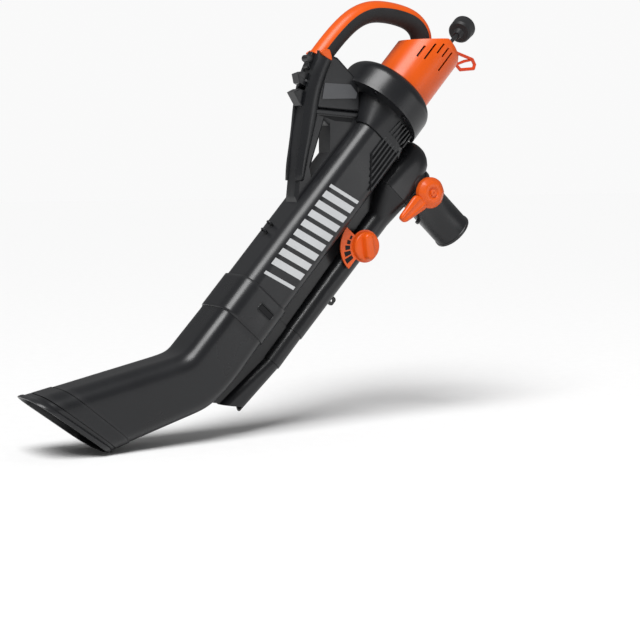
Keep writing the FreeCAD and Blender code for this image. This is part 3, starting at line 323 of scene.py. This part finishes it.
def rounded_ring(half_x, half_y, radius, per_corner=9, per_side=6):
    """Points of a rounded rectangle about the origin."""
    points = []
    corners = ((1, 1, 0), (-1, 1, 90), (-1, -1, 180), (1, -1, 270))
    for side_x, side_y, start in corners:
        centre = (side_x * (half_x - radius), side_y * (half_y - radius))
        for step in range(per_corner):
            angle = math.radians(start + 90.0 * step / (per_corner - 1))
            points.append((centre[0] + radius * math.cos(angle), centre[1] + radius * math.sin(angle)))
    whole = []
    for index, point in enumerate(points):
        whole.append(point)
        if index % per_corner == per_corner - 1:
            following = points[(index + 1) % len(points)]
            for step in range(1, per_side):
                share = step / per_side
                whole.append((point[0] + share * (following[0] - point[0]),
                              point[1] + share * (following[1] - point[1])))
    return whole


def tube_ring(across, level, half_x, half_y, radius, tilt=0.0):
    """A rounded rectangle across the tube, as an array of points in the tube's frame."""
    turn = math.radians(tilt)
    points = []
    for x, y in rounded_ring(half_x, half_y, radius):
        points.append((across + x * math.cos(turn), y, level - x * math.sin(turn)))
    return np.array(points)


def between_rings(rings, spacing=6.0):
    """Adds rings between the given ones, evenly spaced."""
    result = [rings[0]]
    for first, second in zip(rings, rings[1:]):
        gap = np.linalg.norm(second.mean(0) - first.mean(0))
        count = max(1, int(round(gap / spacing)))
        for step in range(1, count + 1):
            result.append(first + (second - first) * step / count)
    return result


def soften(rings, passes):
    """Averages each ring with its neighbours, so that a change of direction becomes a bend."""
    for _ in range(passes):
        rings = rings[:1] + [
            (rings[index - 1] + 2 * rings[index] + rings[index + 1]) / 4
            for index in range(1, len(rings) - 1)
        ] + rings[-1:]
    return rings


def plate(name, outline, y_face, thickness, material, body, replaces=(), bevel=0.0002):
    """A thin plate drawn in the XZ plane; its near face is at y_face."""
    count = len(outline)
    points = [(x, y_face, z) for x, z in outline] + [(x, y_face + thickness, z) for x, z in outline]
    faces = [tuple(range(count)), tuple(range(2 * count - 1, count - 1, -1))]
    for index in range(count):
        following = (index + 1) % count
        faces.append((index, index + count, following + count, following))
    thing = piece(name, points, faces, material, body, replaces, shade=False)
    add_modifier(thing, "BEVEL", width=bevel, segments=2, limit_method="ANGLE")
    return thing


def cutter_mesh(points, faces):
    """A mesh to cut with, from points in the tube's frame."""
    mesh = bpy.data.meshes.new("cutter")
    mesh.from_pydata([at(*point) for point in points], [], faces)
    return mesh


def block_mesh(left, right, near, far, low, high):
    """A box, to cut with."""
    corners = [(x, y, z) for x in (left, right) for y in (near, far) for z in (low, high)]
    faces = [(0, 1, 3, 2), (4, 6, 7, 5), (0, 4, 5, 1), (2, 3, 7, 6), (0, 2, 6, 4), (1, 5, 7, 3)]
    return cutter_mesh(corners, faces)


def circle_along_x(x, radius, z, count):
    """Points of a circle about an axis along X, in the tube's frame."""
    angles = [2 * math.pi * index / count for index in range(count)]
    return [(x, radius * math.cos(angle), z + radius * math.sin(angle)) for angle in angles]


def bore_mesh(radius, start, finish, z, count=64):
    """A cylinder along X, to cut with."""
    points = circle_along_x(start, radius, z, count) + circle_along_x(finish, radius, z, count)
    return cutter_mesh(points, ring_faces(2, count, True, True))


def cut_away(thing, mesh):
    """Takes the mesh's volume out of a piece, with the piece's modifiers applied first."""
    cutter = bpy.data.objects.new("cutter", mesh)
    bpy.context.scene.collection.objects.link(cutter)
    made = add_modifier(thing, "BOOLEAN", operation="DIFFERENCE", solver="EXACT", object=cutter)
    made.use_hole_tolerant = True
    apply_modifiers(thing)
    bpy.data.objects.remove(cutter)


def apply_modifiers(thing):
    """Puts the result of a piece's modifiers in its mesh."""
    bpy.context.view_layer.update()
    ready = thing.evaluated_get(bpy.context.evaluated_depsgraph_get())
    mesh = bpy.data.meshes.new_from_object(ready)
    thing.modifiers.clear()
    thing.data = mesh


# ---------------------------------------------------------------- lower tube and nozzle

COLLAR_TOP = 2.0
COLLAR_FOOT = -65.0
BEND_Z = -150.0
MOUTH = (-130.0, -366.0)
MOUTH_HALF = 75.0
MOUTH_TILT = -5.0
MOUTH_ROUND = 33.0
MOUTH_DEEPER = 4.0
COLLAR_OUT = 3.5
LATCH_LEFT, LATCH_RIGHT, LATCH_LOW, LATCH_HIGH = -6.0, 24.0, -29.0, -18.0


def nozzle_rings(inset):
    """Rings from the collar down to the mouth, each drawn in by inset."""
    half = TUBE_HALF - inset
    corner = TUBE_CORNER - inset
    deep = half + MOUTH_DEEPER
    keys = [
        tube_ring(TUBE_X, COLLAR_FOOT, half + 1, half + 1, corner + 1),
        tube_ring(TUBE_X, BEND_Z, half + 2, half + 2, corner),
        tube_ring(TUBE_X - 3, BEND_Z - 31, half + 2.5, half + 2, corner + 4, 20.0),
        tube_ring(MOUTH[0], MOUTH[1], MOUTH_HALF - inset, deep, MOUTH_ROUND - inset, MOUTH_TILT),
    ]
    return soften(between_rings(keys), 14)


def mouth_band(rings, steps=7, lift=1.5, groove=1.2):
    """Raises the last stretch of the nozzle a little, between two fine grooves."""
    start, end = len(rings) - steps, len(rings) - 2
    raised = rings[:start]
    for index in range(start, len(rings)):
        ring = rings[index]
        away = ring - ring.mean(0)
        away = away / np.linalg.norm(away, axis=1, keepdims=True)
        lifted = ring + away * lift
        if index in (start, end):
            further = (rings[index + 1] - ring) * 0.3
            sunk = ring - away * groove
            raised += [ring if index == start else lifted, sunk, sunk + further, lifted + further]
        else:
            raised.append(lifted)
    return raised


def square_rings(section):
    """Rings round the tube, from levels and how far each stands off its wall."""
    return [tube_ring(TUBE_X, level, TUBE_HALF + out, TUBE_HALF + out, TUBE_CORNER + out)
            for level, out in section]


def lower_tube():
    """Collar, straight tube and bent nozzle as one moulding with a rolled lip."""
    socket_top, socket_foot = COLLAR_TOP - 3.0, COLLAR_FOOT + 9.0
    collar = [
        (socket_top, PLAY), (COLLAR_TOP, 0.5), (COLLAR_TOP, 2.6), (COLLAR_TOP - 0.8, 3.4),
        (COLLAR_TOP - 6.0, COLLAR_OUT), (COLLAR_FOOT + 5.0, COLLAR_OUT), (COLLAR_FOOT + 0.8, 3.4),
        (COLLAR_FOOT, 2.6), (COLLAR_FOOT - 0.2, 1.4),
    ]
    lip_section = [(-8.0, 0.3), (-6.6, 2.2), (-5.0, 3.0), (-1.0, 3.2), (0.8, 2.4), (1.2, 0.8), (0.6, -1.6)]
    socket = [(socket_foot - 2.0, -WALL), (socket_foot, -WALL), (socket_foot, PLAY), (socket_top, PLAY)]
    lip = []
    for down, out in lip_section:
        deep = TUBE_HALF + MOUTH_DEEPER + out
        ring = tube_ring(0.0, 0.0, MOUTH_HALF + out, deep, MOUTH_ROUND + out, MOUTH_TILT)
        lip.append(ring + np.array((MOUTH[0] - 0.6 * down, 0.0, MOUTH[1] - down)))
    outside = mouth_band(nozzle_rings(0.0)[1:-2])
    inside = nozzle_rings(WALL)[-2:0:-1]
    rings = square_rings(collar) + outside + lip + inside + square_rings(socket)
    faces = ring_faces(len(rings), len(rings[0]))
    whole = piece("nozzle_shell", np.concatenate(rings), faces, BLACK, "machine",
                  ("lower_tube",))
    add_modifier(whole, "WELD", merge_threshold=0.00001)
    cut_near, cut_far = -TUBE_HALF - 12.5, -TUBE_HALF + 9.5
    cut_away(whole, block_mesh(LATCH_LEFT, LATCH_RIGHT, cut_near, cut_far, LATCH_LOW, LATCH_HIGH))
    add_modifier(whole, "EDGE_SPLIT", split_angle=math.radians(50))


def web_joint():
    """Plate that closes the step between the webs, above and below the collar."""
    outline = [(48.5, -7), (83.5, -7), (83.5, -0.8), (51.0, -0.8), (51.0, 3.5), (48.5, 3.5)]
    plate("web_joint", outline, -3.0, 6.0, BLACK, "machine", (), 0.0003)


def latch_rim():
    """Raised rounded frame round the latch window in the collar."""
    centre_x, centre_z = (LATCH_LEFT + LATCH_RIGHT) / 2, (LATCH_LOW + LATCH_HIGH) / 2
    half_x, half_z = (LATCH_RIGHT - LATCH_LEFT) / 2, (LATCH_HIGH - LATCH_LOW) / 2
    near = -TUBE_HALF - COLLAR_OUT
    # Each row: distance out from the window's edge, height above the collar.
    section = [(0.0, -1.5), (0.0, 0.7), (0.5, 1.1), (1.5, 1.1), (2.1, 0.6), (2.3, -0.8)]
    points = []
    for out, rise in section:
        for x, z in rounded_ring(half_x + out, half_z + out, 2.5 + out):
            points.append((centre_x + x, near - rise, centre_z + z))
    faces = ring_faces(len(section), len(points) // len(section), looped=True)
    piece("latch_rim", points, faces, BLACK_SHARP, "machine")


# ---------------------------------------------------------------- graphics


def side_stripes():
    """A row of slanted silver bars along the near side of the tube."""
    low, high, left, right = 22.0, 244.0, -34.0, 27.0
    slant = 15.0
    count = 10
    wide, thin = 0.62, 0.3
    pitch = (high - low - slant) / count
    for index in range(count):
        start = low + index * pitch
        finish = start + pitch * (thin if index in (0, count - 1) else wide)
        outline = [(left, start), (right, start + slant), (right, finish + slant), (left, finish)]
        plate("side_stripe_%02d" % index, outline, -TUBE_HALF - 0.3, 0.4, SILVER, "machine")


def scale_marks():
    """Growing black segments on the scale plate, round the airflow knob."""
    count, steps = 5, 5
    start, sweep, gap = 186.0, 76.0, 2.0
    inner = 31.0
    for index in range(count):
        first = math.radians(start + sweep * index / count + gap)
        last = math.radians(start + sweep * (index + 1) / count - gap)
        outer = 35.0 + 2.9 * index
        arc = [first + (last - first) * step / (steps - 1) for step in range(steps)]
        outline = [(BLOW_X + inner * math.cos(a), KNOB_Z + inner * math.sin(a)) for a in arc]
        outline += [(BLOW_X + outer * math.cos(a), KNOB_Z + outer * math.sin(a)) for a in arc[::-1]]
        plate("scale_mark_%d" % index, outline, KNOB_FACE + 0.1, 0.5, PRINT_AND_SHADE, "machine")


# ---------------------------------------------------------------- handles

# Stations down the column: x, z and half its width.
COLUMN = [
    (-166, 373, 14), (-160, 350, 15), (-147, 318, 15), (-128, 288, 15), (-112, 262, 13), (-96, 234, 11),
    (-82, 210, 10), (-68, 190, 8),
]


def along(path):
    """Points of a smooth path through (x, z, half width) stations, with the direction square to it."""
    path = np.array(path, float)
    for _ in range(3):
        finer = [path[0]]
        for first, second in zip(path, path[1:]):
            finer += [first * 0.75 + second * 0.25, first * 0.25 + second * 0.75]
        path = np.array(finer + [path[-1]])
    ahead = np.gradient(path[:, :2], axis=0)
    ahead /= np.linalg.norm(ahead, axis=1, keepdims=True)
    return [(x, z, half, -dz, dx) for (x, z, half), (dx, dz) in zip(path, ahead)]


def column():
    """Rounded column down the front of the bridge and the post, on both sides."""
    count, fade = 13, 7
    back, proud = 13.0, 4.6
    stations = along(COLUMN)
    for side, name in ((-1, "near"), (1, "far")):
        points = []
        for index, (x, z, half, across_x, across_z) in enumerate(stations):
            narrowing = min(1.0, max(0.0, (330.0 - z) / 60.0))
            base = BRIDGE_HALF - 2.2 * narrowing
            rise = proud * min(1.0, (len(stations) - index) / fade)
            for step in range(count):
                share = -1 + 2 * step / (count - 1)
                if share > 0:
                    height = back + (base + rise - back) * math.sqrt(max(0.0, 1 - share ** 2))
                else:
                    height = base - 0.5 + (rise + 0.5) * math.cos(share * math.pi / 2)
                points.append((x + share * half * across_x, side * height, z + share * half * across_z))
            for edge in (half, -half):
                points.append((x + edge * across_x, side * (back - 0.4), z + edge * across_z))
        faces = ring_faces(len(stations), count + 2, True, True)
        rib = piece("column_" + name, points, faces, BLACK, "machine")
        add_modifier(rib, "EDGE_SPLIT", split_angle=math.radians(50))


def orange_tongue():
    """Pointed end of the orange shell where it laps over the top of the column."""
    outline = [(-183.5, 371.5), (-174, 371.6), (-165, 373.6), (-157.5, 376.8), (-161.5, 380.5), (-167, 384),
               (-173, 387), (-181, 381)]
    inner, thick = 18.5, 6.4
    for face, name in ((-inner - thick, "near"), (inner, "far")):
        tongue = plate("orange_tongue_" + name, outline, face, thick, ORANGE, "machine",
                       (), 0.0016)
        tongue.modifiers[0].segments = 3


def bridge_bars():
    """Raised bar under the bridge, a near-black strip painted as the shade of the slot below it, and the
    seam of the post, on both sides.
    """
    bar = [(-125, 297.5), (-60, 348.6), (-56.8, 343), (-121.5, 292)]
    # The slot is a flat near-black strip: painted shade standing in for the recess under the bar.
    slot = [(-116, 293.6), (-60.5, 337.4), (-57.2, 331), (-84, 309.5), (-103, 300.6)]
    seam = [(-150, 291.8), (-121, 287.6), (-121, 286.6), (-150, 290.8)]
    strips = [
        ("bar", bar, 3.6, BLACK, 0.001), ("seam", seam, 0.7, PRINT_AND_SHADE, 0.0002), ("slot", slot, 0.8, PRINT_AND_SHADE, 0.0002),
    ]
    inner = POST_HALF - 0.4
    for side, name in ((-1, "near"), (1, "far")):
        for label, outline, thick, material, bevel in strips:
            face = inner if side > 0 else -inner - thick
            plate("bridge_%s_%s" % (label, name), outline, face, thick, material, "machine",
                  (), bevel)


# ---------------------------------------------------------------- louvre

LOUVRE_LEFT = -8.0
RIB_PITCH = 7.4
RIB_WIDTH = 2.6
RIB_BEVEL = 0.0007
BAND_FOOT, BAND_TOP, NECK_TOP = 345.0, 353.0, 379.0


def louvre_rib(index, x):
    """A rib below the band; the ribs nearer the blower side reach lower."""
    low = 304.0 - 1.22 * (x - LOUVRE_LEFT)
    outline = [(x, low), (x + RIB_WIDTH, low - 3), (x + RIB_WIDTH, BAND_FOOT), (x, BAND_FOOT)]
    plate("louvre_rib_%d" % index, outline, -TUBE_HALF - 4.6, 4.0, BLACK_SHARP, "machine",
          (), RIB_BEVEL)


def neck_rib(index, x):
    """A rib above the band, on the neck that widens towards the fan housing."""
    foot_out, proud, depth = 50.9, 2.6, 6.0
    neck_out = 60.0 if x < 4 else 60.0 - 0.016 * (x - 4.0) ** 2
    points = []
    for z, share in ((BAND_TOP, 0.34), (NECK_TOP, 0.93)):
        near = -(foot_out + (neck_out - foot_out) * share) - proud
        far = near + depth
        points += [(x, near, z), (x + RIB_WIDTH, near, z), (x + RIB_WIDTH, far, z), (x, far, z)]
    faces = ring_faces(2, 4, True, True)
    rib = piece("neck_rib_%d" % index, points, faces, BLACK_SHARP, "machine", shade=False)
    add_modifier(rib, "BEVEL", width=RIB_BEVEL, segments=2)


def louvre():
    """Ribs over the air opening beside the fan inlet, in two rows across a band, on a flat near-black sheet
    painted as the shade inside the opening.
    """
    # Near-black sheet in place of the louvre panel: painted shade for the dark opening behind the ribs.
    shade_sheet = [(-9, 346), (33, 346), (33, 256), (-9, 303)]
    plate("louvre_shade_sheet", shade_sheet, -TUBE_HALF - 1.4, 1.8, PRINT_AND_SHADE, "machine", ("louvre_panel",))
    for index in range(6):
        x = LOUVRE_LEFT + RIB_PITCH * index
        louvre_rib(index, x)
        neck_rib(index, x)


# ---------------------------------------------------------------- valve and spigot


def valve_duct():
    """Rounded hollow duct beside the fan housing, domed at its upper end."""
    # Each row: level, middle, half width, half depth, corner radius.
    levels = [
        (296.9, VALVE_X, 35.0, 34.0, 20), (340, VALVE_X, 35.0, 34.0, 26), (358, 84.6, 34.8, 33.8, 29),
        (370, 84, 33.6, 32.6, 30), (380, 82.5, 31.0, 30.2, 28), (388, 80.5, 26.5, 26.2, 25),
        (393.5, 78.5, 20.5, 20.6, 19), (396, 77, 12.5, 12.8, 11.5),
    ]
    dome_foot = 360.0
    solid = [tube_ring(x, z, half_x, half_y, radius) for z, x, half_x, half_y, radius in levels]
    hollow = [tube_ring(VALVE_X, 290.0, 35.0 - WALL, 34.0 - WALL, 20.0 - WALL)]
    for z, x, half_x, half_y, radius in levels[1:]:
        lower = z if z < dome_foot else z - WALL
        hollow.append(tube_ring(x, lower, half_x - WALL, half_y - WALL, max(6.0, radius - WALL)))
    faces = ring_faces(len(levels), len(solid[0]), True, True)
    duct = piece("valve_duct", np.concatenate(solid), faces, BLACK, "machine",
                 ("valve_body",))
    cut_away(duct, cutter_mesh(np.concatenate(hollow), faces))
    cut_away(duct, bore_mesh(SPIGOT_BORE, SPIGOT_ROOT - 2.0, SPIGOT_ROOT + 31.0, VALVE_Z))
    add_modifier(duct, "EDGE_SPLIT", split_angle=math.radians(40))


def duct_joint():
    """Plate that joins the duct to the side of the suction tube."""
    outline = [(45.4, 291), (50.6, 291), (51.2, 366), (45.4, 352)]
    plate("duct_joint", outline, -17.0, 34.0, BLACK, "machine", (), 0.0005)


def turned_along_x(name, section, count, split):
    """A closed ring about the spigot's axis, from its section as x and radius."""
    points = [point for x, radius in section for point in circle_along_x(x, radius, VALVE_Z, count)]
    faces = ring_faces(len(section), count, looped=True)
    turned = piece(name, points, faces, BLACK, "machine")
    add_modifier(turned, "EDGE_SPLIT", split_angle=math.radians(split))


def spigot_collar():
    """Raised ring at the root of the spigot."""
    root, radius = SPIGOT_ROOT, SPIGOT_RADIUS
    turned_along_x("spigot_collar", [
        (root + 13, radius), (root + 13, radius + 2.2), (root + 14, radius + 2.8),
        (root + 20.5, radius + 2.8), (root + 21.5, radius + 2.2), (root + 21.5, radius),
    ], 48, 40.0)


def spigot():
    """Round stub for the bag, with a thick rim."""
    root, end, radius, bore = SPIGOT_ROOT, SPIGOT_END, SPIGOT_RADIUS, SPIGOT_BORE
    turned_along_x("spigot", [
        (root, radius - 2.6), (root, radius), (root + 13, radius), (root + 51, radius),
        (root + 51.6, radius + 0.5), (root + 54, radius + 0.5), (root + 54.6, radius), (end - 6, radius),
        (end - 5.2, radius + 0.4), (end - 4.7, radius + 1.3), (end - 1, radius + 1.5),
        (end - 0.3, radius + 1.2), (end, radius + 0.4), (end, radius - 2.0), (end - 0.8, bore),
        (end - 40, bore), (root + 13, radius - 2.7),
    ], 72, 45.0)


# ---------------------------------------------------------------- cord


def power_cord():
    """The short lead, from the cover to the plug."""
    curve = bpy.data.curves.new("lead", "CURVE")
    curve.dimensions = "3D"
    line = curve.splines.new("NURBS")
    route = [at(*point) for point in CORD]
    line.points.add(len(route) - 1)
    for target, point in zip(line.points, route):
        target.co = (*point, 1.0)
    line.order_u = 3
    line.use_endpoint_u = True
    line.resolution_u = 16
    curve.bevel_depth = CORD_DIAMETER / 2
    curve.bevel_resolution = 8
    curve.use_fill_caps = True
    curve.materials.append(CORD_RUBBER)
    lead = bpy.data.objects.new("lead", curve)
    bpy.context.scene.collection.objects.link(lead)
    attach(lead, "machine")
    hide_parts("power_cord")


# ---------------------------------------------------------------- levers and knobs


def lever_hub():
    """Faceted hub of the selector lever, with a dished face."""
    count = 48
    facet_half = math.pi / 8
    # Each row: radius, height above the face, share of the eight facets.
    profile = [
        (27.0, 0.0, 0.0), (27.0, 7.5, 0.15), (26.2, 9.5, 0.5), (19.5, 14.6, 1.0), (18.4, 15.2, 0.9),
        (11.0, 15.2, 0.0), (10.2, 14.9, 0.0), (9.4, 13.6, 0.0), (8.4, 13.2, 0.0), (6.6, 13.2, 0.0),
    ]
    points = []
    for radius, rise, facet in profile:
        for index in range(count):
            angle = 2 * math.pi * index / count
            off_middle = abs((angle % (2 * facet_half)) - facet_half)
            flat = math.cos(facet_half) / math.cos(off_middle)
            reach = radius * (1 + facet * (flat - 1))
            points.append((LEVER_X + reach * math.cos(angle), LEVER_FACE - rise,
                           VALVE_Z + reach * math.sin(angle)))
    hub = piece("lever_hub", points, ring_faces(len(profile), count, True, True), ORANGE, "diverter",
                ("selector_lever",))
    add_modifier(hub, "EDGE_SPLIT", split_angle=math.radians(38))


def lever_arm():
    """Tapered arm of the selector lever, with two ribs along it."""
    half_section = [(1.0, 0.0), (0.97, 0.55), (0.8, 0.82), (0.52, 0.86), (0.42, 1.0), (0.3, 0.86)]
    section = [(-across, height) for across, height in half_section] + half_section[::-1]
    # Each station: distance from the hub's axis, half width, height.
    stations = [
        (20.0, 19.0, 12.6), (34.0, 16.2, 12.4), (50.0, 13.0, 12.0), (64.0, 10.4, 11.6), (70.0, 9.4, 11.0),
        (73.8, 7.2, 9.6), (75.6, 4.0, 6.4),
    ]
    points = []
    for reach, half, rise in stations:
        centre = LEVER_X - 2.0 - 0.16 * reach
        for across, height in section:
            points.append((centre + across * half, LEVER_FACE - 1.0 - height * rise, VALVE_Z - reach))
    arm = piece("lever_arm", points, ring_faces(len(stations), len(section), True, True), ORANGE, "diverter")
    add_modifier(arm, "SUBSURF", levels=2, render_levels=2)


def stadium(half_length, half_width, count=32):
    """Points of a rounded bar about the origin."""
    points = []
    straight = half_length - half_width
    for index in range(count):
        angle = 2 * math.pi * (index + 0.5) / count
        x = half_width * math.cos(angle)
        points.append((x + (straight if x > 0 else -straight), half_width * math.sin(angle)))
    return points


def knob_base():
    """Round disc of the airflow knob."""
    count = 64
    points = []
    profile = [(25.0, 0.0), (25.0, 4.2), (24.4, 5.8), (23.0, 6.8), (21.0, 7.2)]
    for radius, rise in profile:
        points += [(BLOW_X + radius * math.cos(2 * math.pi * index / count), KNOB_FACE - rise,
                    KNOB_Z + radius * math.sin(2 * math.pi * index / count)) for index in range(count)]
    faces = ring_faces(len(profile), count, True, True)
    base = piece("knob_base", points, faces, ORANGE, "airflow", ("airflow_knob",))
    add_modifier(base, "EDGE_SPLIT", split_angle=math.radians(50))


def knob_bar():
    """Thick rounded bar across the face of the airflow knob."""
    turn = math.radians(-40.0)
    points = []
    # Each row: half length, half width, height above the face.
    levels = [(23.6, 9.6, 6.6), (23.4, 9.2, 9.0), (22.6, 8.2, 13.0), (21.6, 7.4, 15.6), (20.2, 6.2, 16.7),
              (18.0, 4.4, 17.0)]
    for half_length, half_width, rise in levels:
        outline = stadium(half_length, half_width)
        for x, z in outline:
            points.append((BLOW_X + x * math.cos(turn) - z * math.sin(turn), KNOB_FACE - rise,
                           KNOB_Z + x * math.sin(turn) + z * math.cos(turn)))
    faces = ring_faces(len(levels), len(outline), True, True)
    bar = piece("knob_bar", points, faces, ORANGE, "airflow")
    add_modifier(bar, "EDGE_SPLIT", split_angle=math.radians(50))


# ---------------------------------------------------------------- stage


def area_light(name, place, target, size, power, tall=None):
    data = bpy.data.lights.new(name, "AREA")
    data.shape = "RECTANGLE"
    data.size = size
    data.size_y = tall or size
    data.energy = power
    light = bpy.data.objects.new(name, data)
    bpy.context.scene.collection.objects.link(light)
    light.location = place
    light.rotation_euler = (Vector(target) - Vector(place)).to_track_quat("-Z", "Y").to_euler()


def lay_floor():
    """Pale matte floor just under the lowest point."""
    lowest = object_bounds()[0].z
    reach, gap = 14.0, 0.0005
    corners = [(-reach, -reach, 0), (reach, -reach, 0), (reach, reach, 0), (-reach, reach, 0)]
    mesh = bpy.data.meshes.new("floor")
    mesh.from_pydata(corners, [], [(0, 1, 2, 3)])
    floor = bpy.data.objects.new("floor", mesh)
    floor.location.z = lowest - gap
    bpy.context.scene.collection.objects.link(floor)
    nodes = Nodes("pale_floor")
    speckle = nodes.noise(40.0, 3.0)
    nodes.link(nodes.blend(speckle, (0.86, 0.86, 0.86), (0.9, 0.9, 0.9)), nodes.shader.inputs["Base Color"])
    nodes.shader.inputs["Roughness"].default_value = 0.9
    nodes.shader.inputs["Specular IOR Level"].default_value = 0.0
    mesh.materials.append(nodes.material)
    floor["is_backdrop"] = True


def light_world():
    """White backdrop for the camera, and a dimmer white sky for everything else."""
    world = bpy.data.worlds.new("studio")
    bpy.context.scene.world = world
    world.use_nodes = True
    tree = world.node_tree
    sky = tree.nodes["Background"]
    backdrop = tree.nodes.new("ShaderNodeBackground")
    for background, strength in ((sky, 0.22), (backdrop, 0.95)):
        background.inputs["Color"].default_value = (1.0, 1.0, 1.0, 1.0)
        background.inputs["Strength"].default_value = strength
    path = tree.nodes.new("ShaderNodeLightPath")
    choice = tree.nodes.new("ShaderNodeMixShader")
    tree.links.new(path.outputs["Is Camera Ray"], choice.inputs[0])
    tree.links.new(sky.outputs[0], choice.inputs[1])
    tree.links.new(backdrop.outputs[0], choice.inputs[2])
    tree.links.new(choice.outputs[0], tree.nodes["World Output"].inputs["Surface"])


def soft_sun():
    """Broad soft light from above, on the left of the camera."""
    data = bpy.data.lights.new("sky_light", "SUN")
    data.energy = 3.15
    data.angle = math.radians(35)
    sun = bpy.data.objects.new("sky_light", data)
    bpy.context.scene.collection.objects.link(sun)
    sun.rotation_euler = Vector((0.45, 0.42, -1.0)).to_track_quat("-Z", "Y").to_euler()


def set_camera():
    """Camera low in front of the nozzle, looking up the slope of the tube."""
    data = bpy.data.cameras.new("camera")
    data.sensor_width = 36.0
    data.lens = 84.4
    camera = bpy.data.objects.new("camera", data)
    bpy.context.scene.collection.objects.link(camera)
    camera.location = (-1.424, -2.149, -0.249)
    forward = Vector((0.5263, 0.8438, -0.1050))
    camera.rotation_euler = forward.to_track_quat("-Z", "Y").to_euler()
    bpy.context.scene.camera = camera


def stage():
    """Floor, soft studio light and the camera."""
    lay_floor()
    light_world()
    soft_sun()
    middle = (0.0, 0.0, -0.35)
    area_light("key_light", (-1.3, -1.4, 1.5), middle, size=0.9, power=8.0, tall=0.6)
    area_light("fill_light", (1.4, -2.2, -0.2), middle, size=1.0, power=5.0)
    set_camera()
    bpy.context.scene.view_settings.view_transform = "Standard"


dress_frame()
power_cord()
lower_tube()
web_joint()
latch_rim()
side_stripes()
scale_marks()
column()
orange_tongue()
bridge_bars()
louvre()
valve_duct()
duct_joint()
spigot_collar()
spigot()
lever_hub()
lever_arm()
knob_base()
knob_bar()
stage()
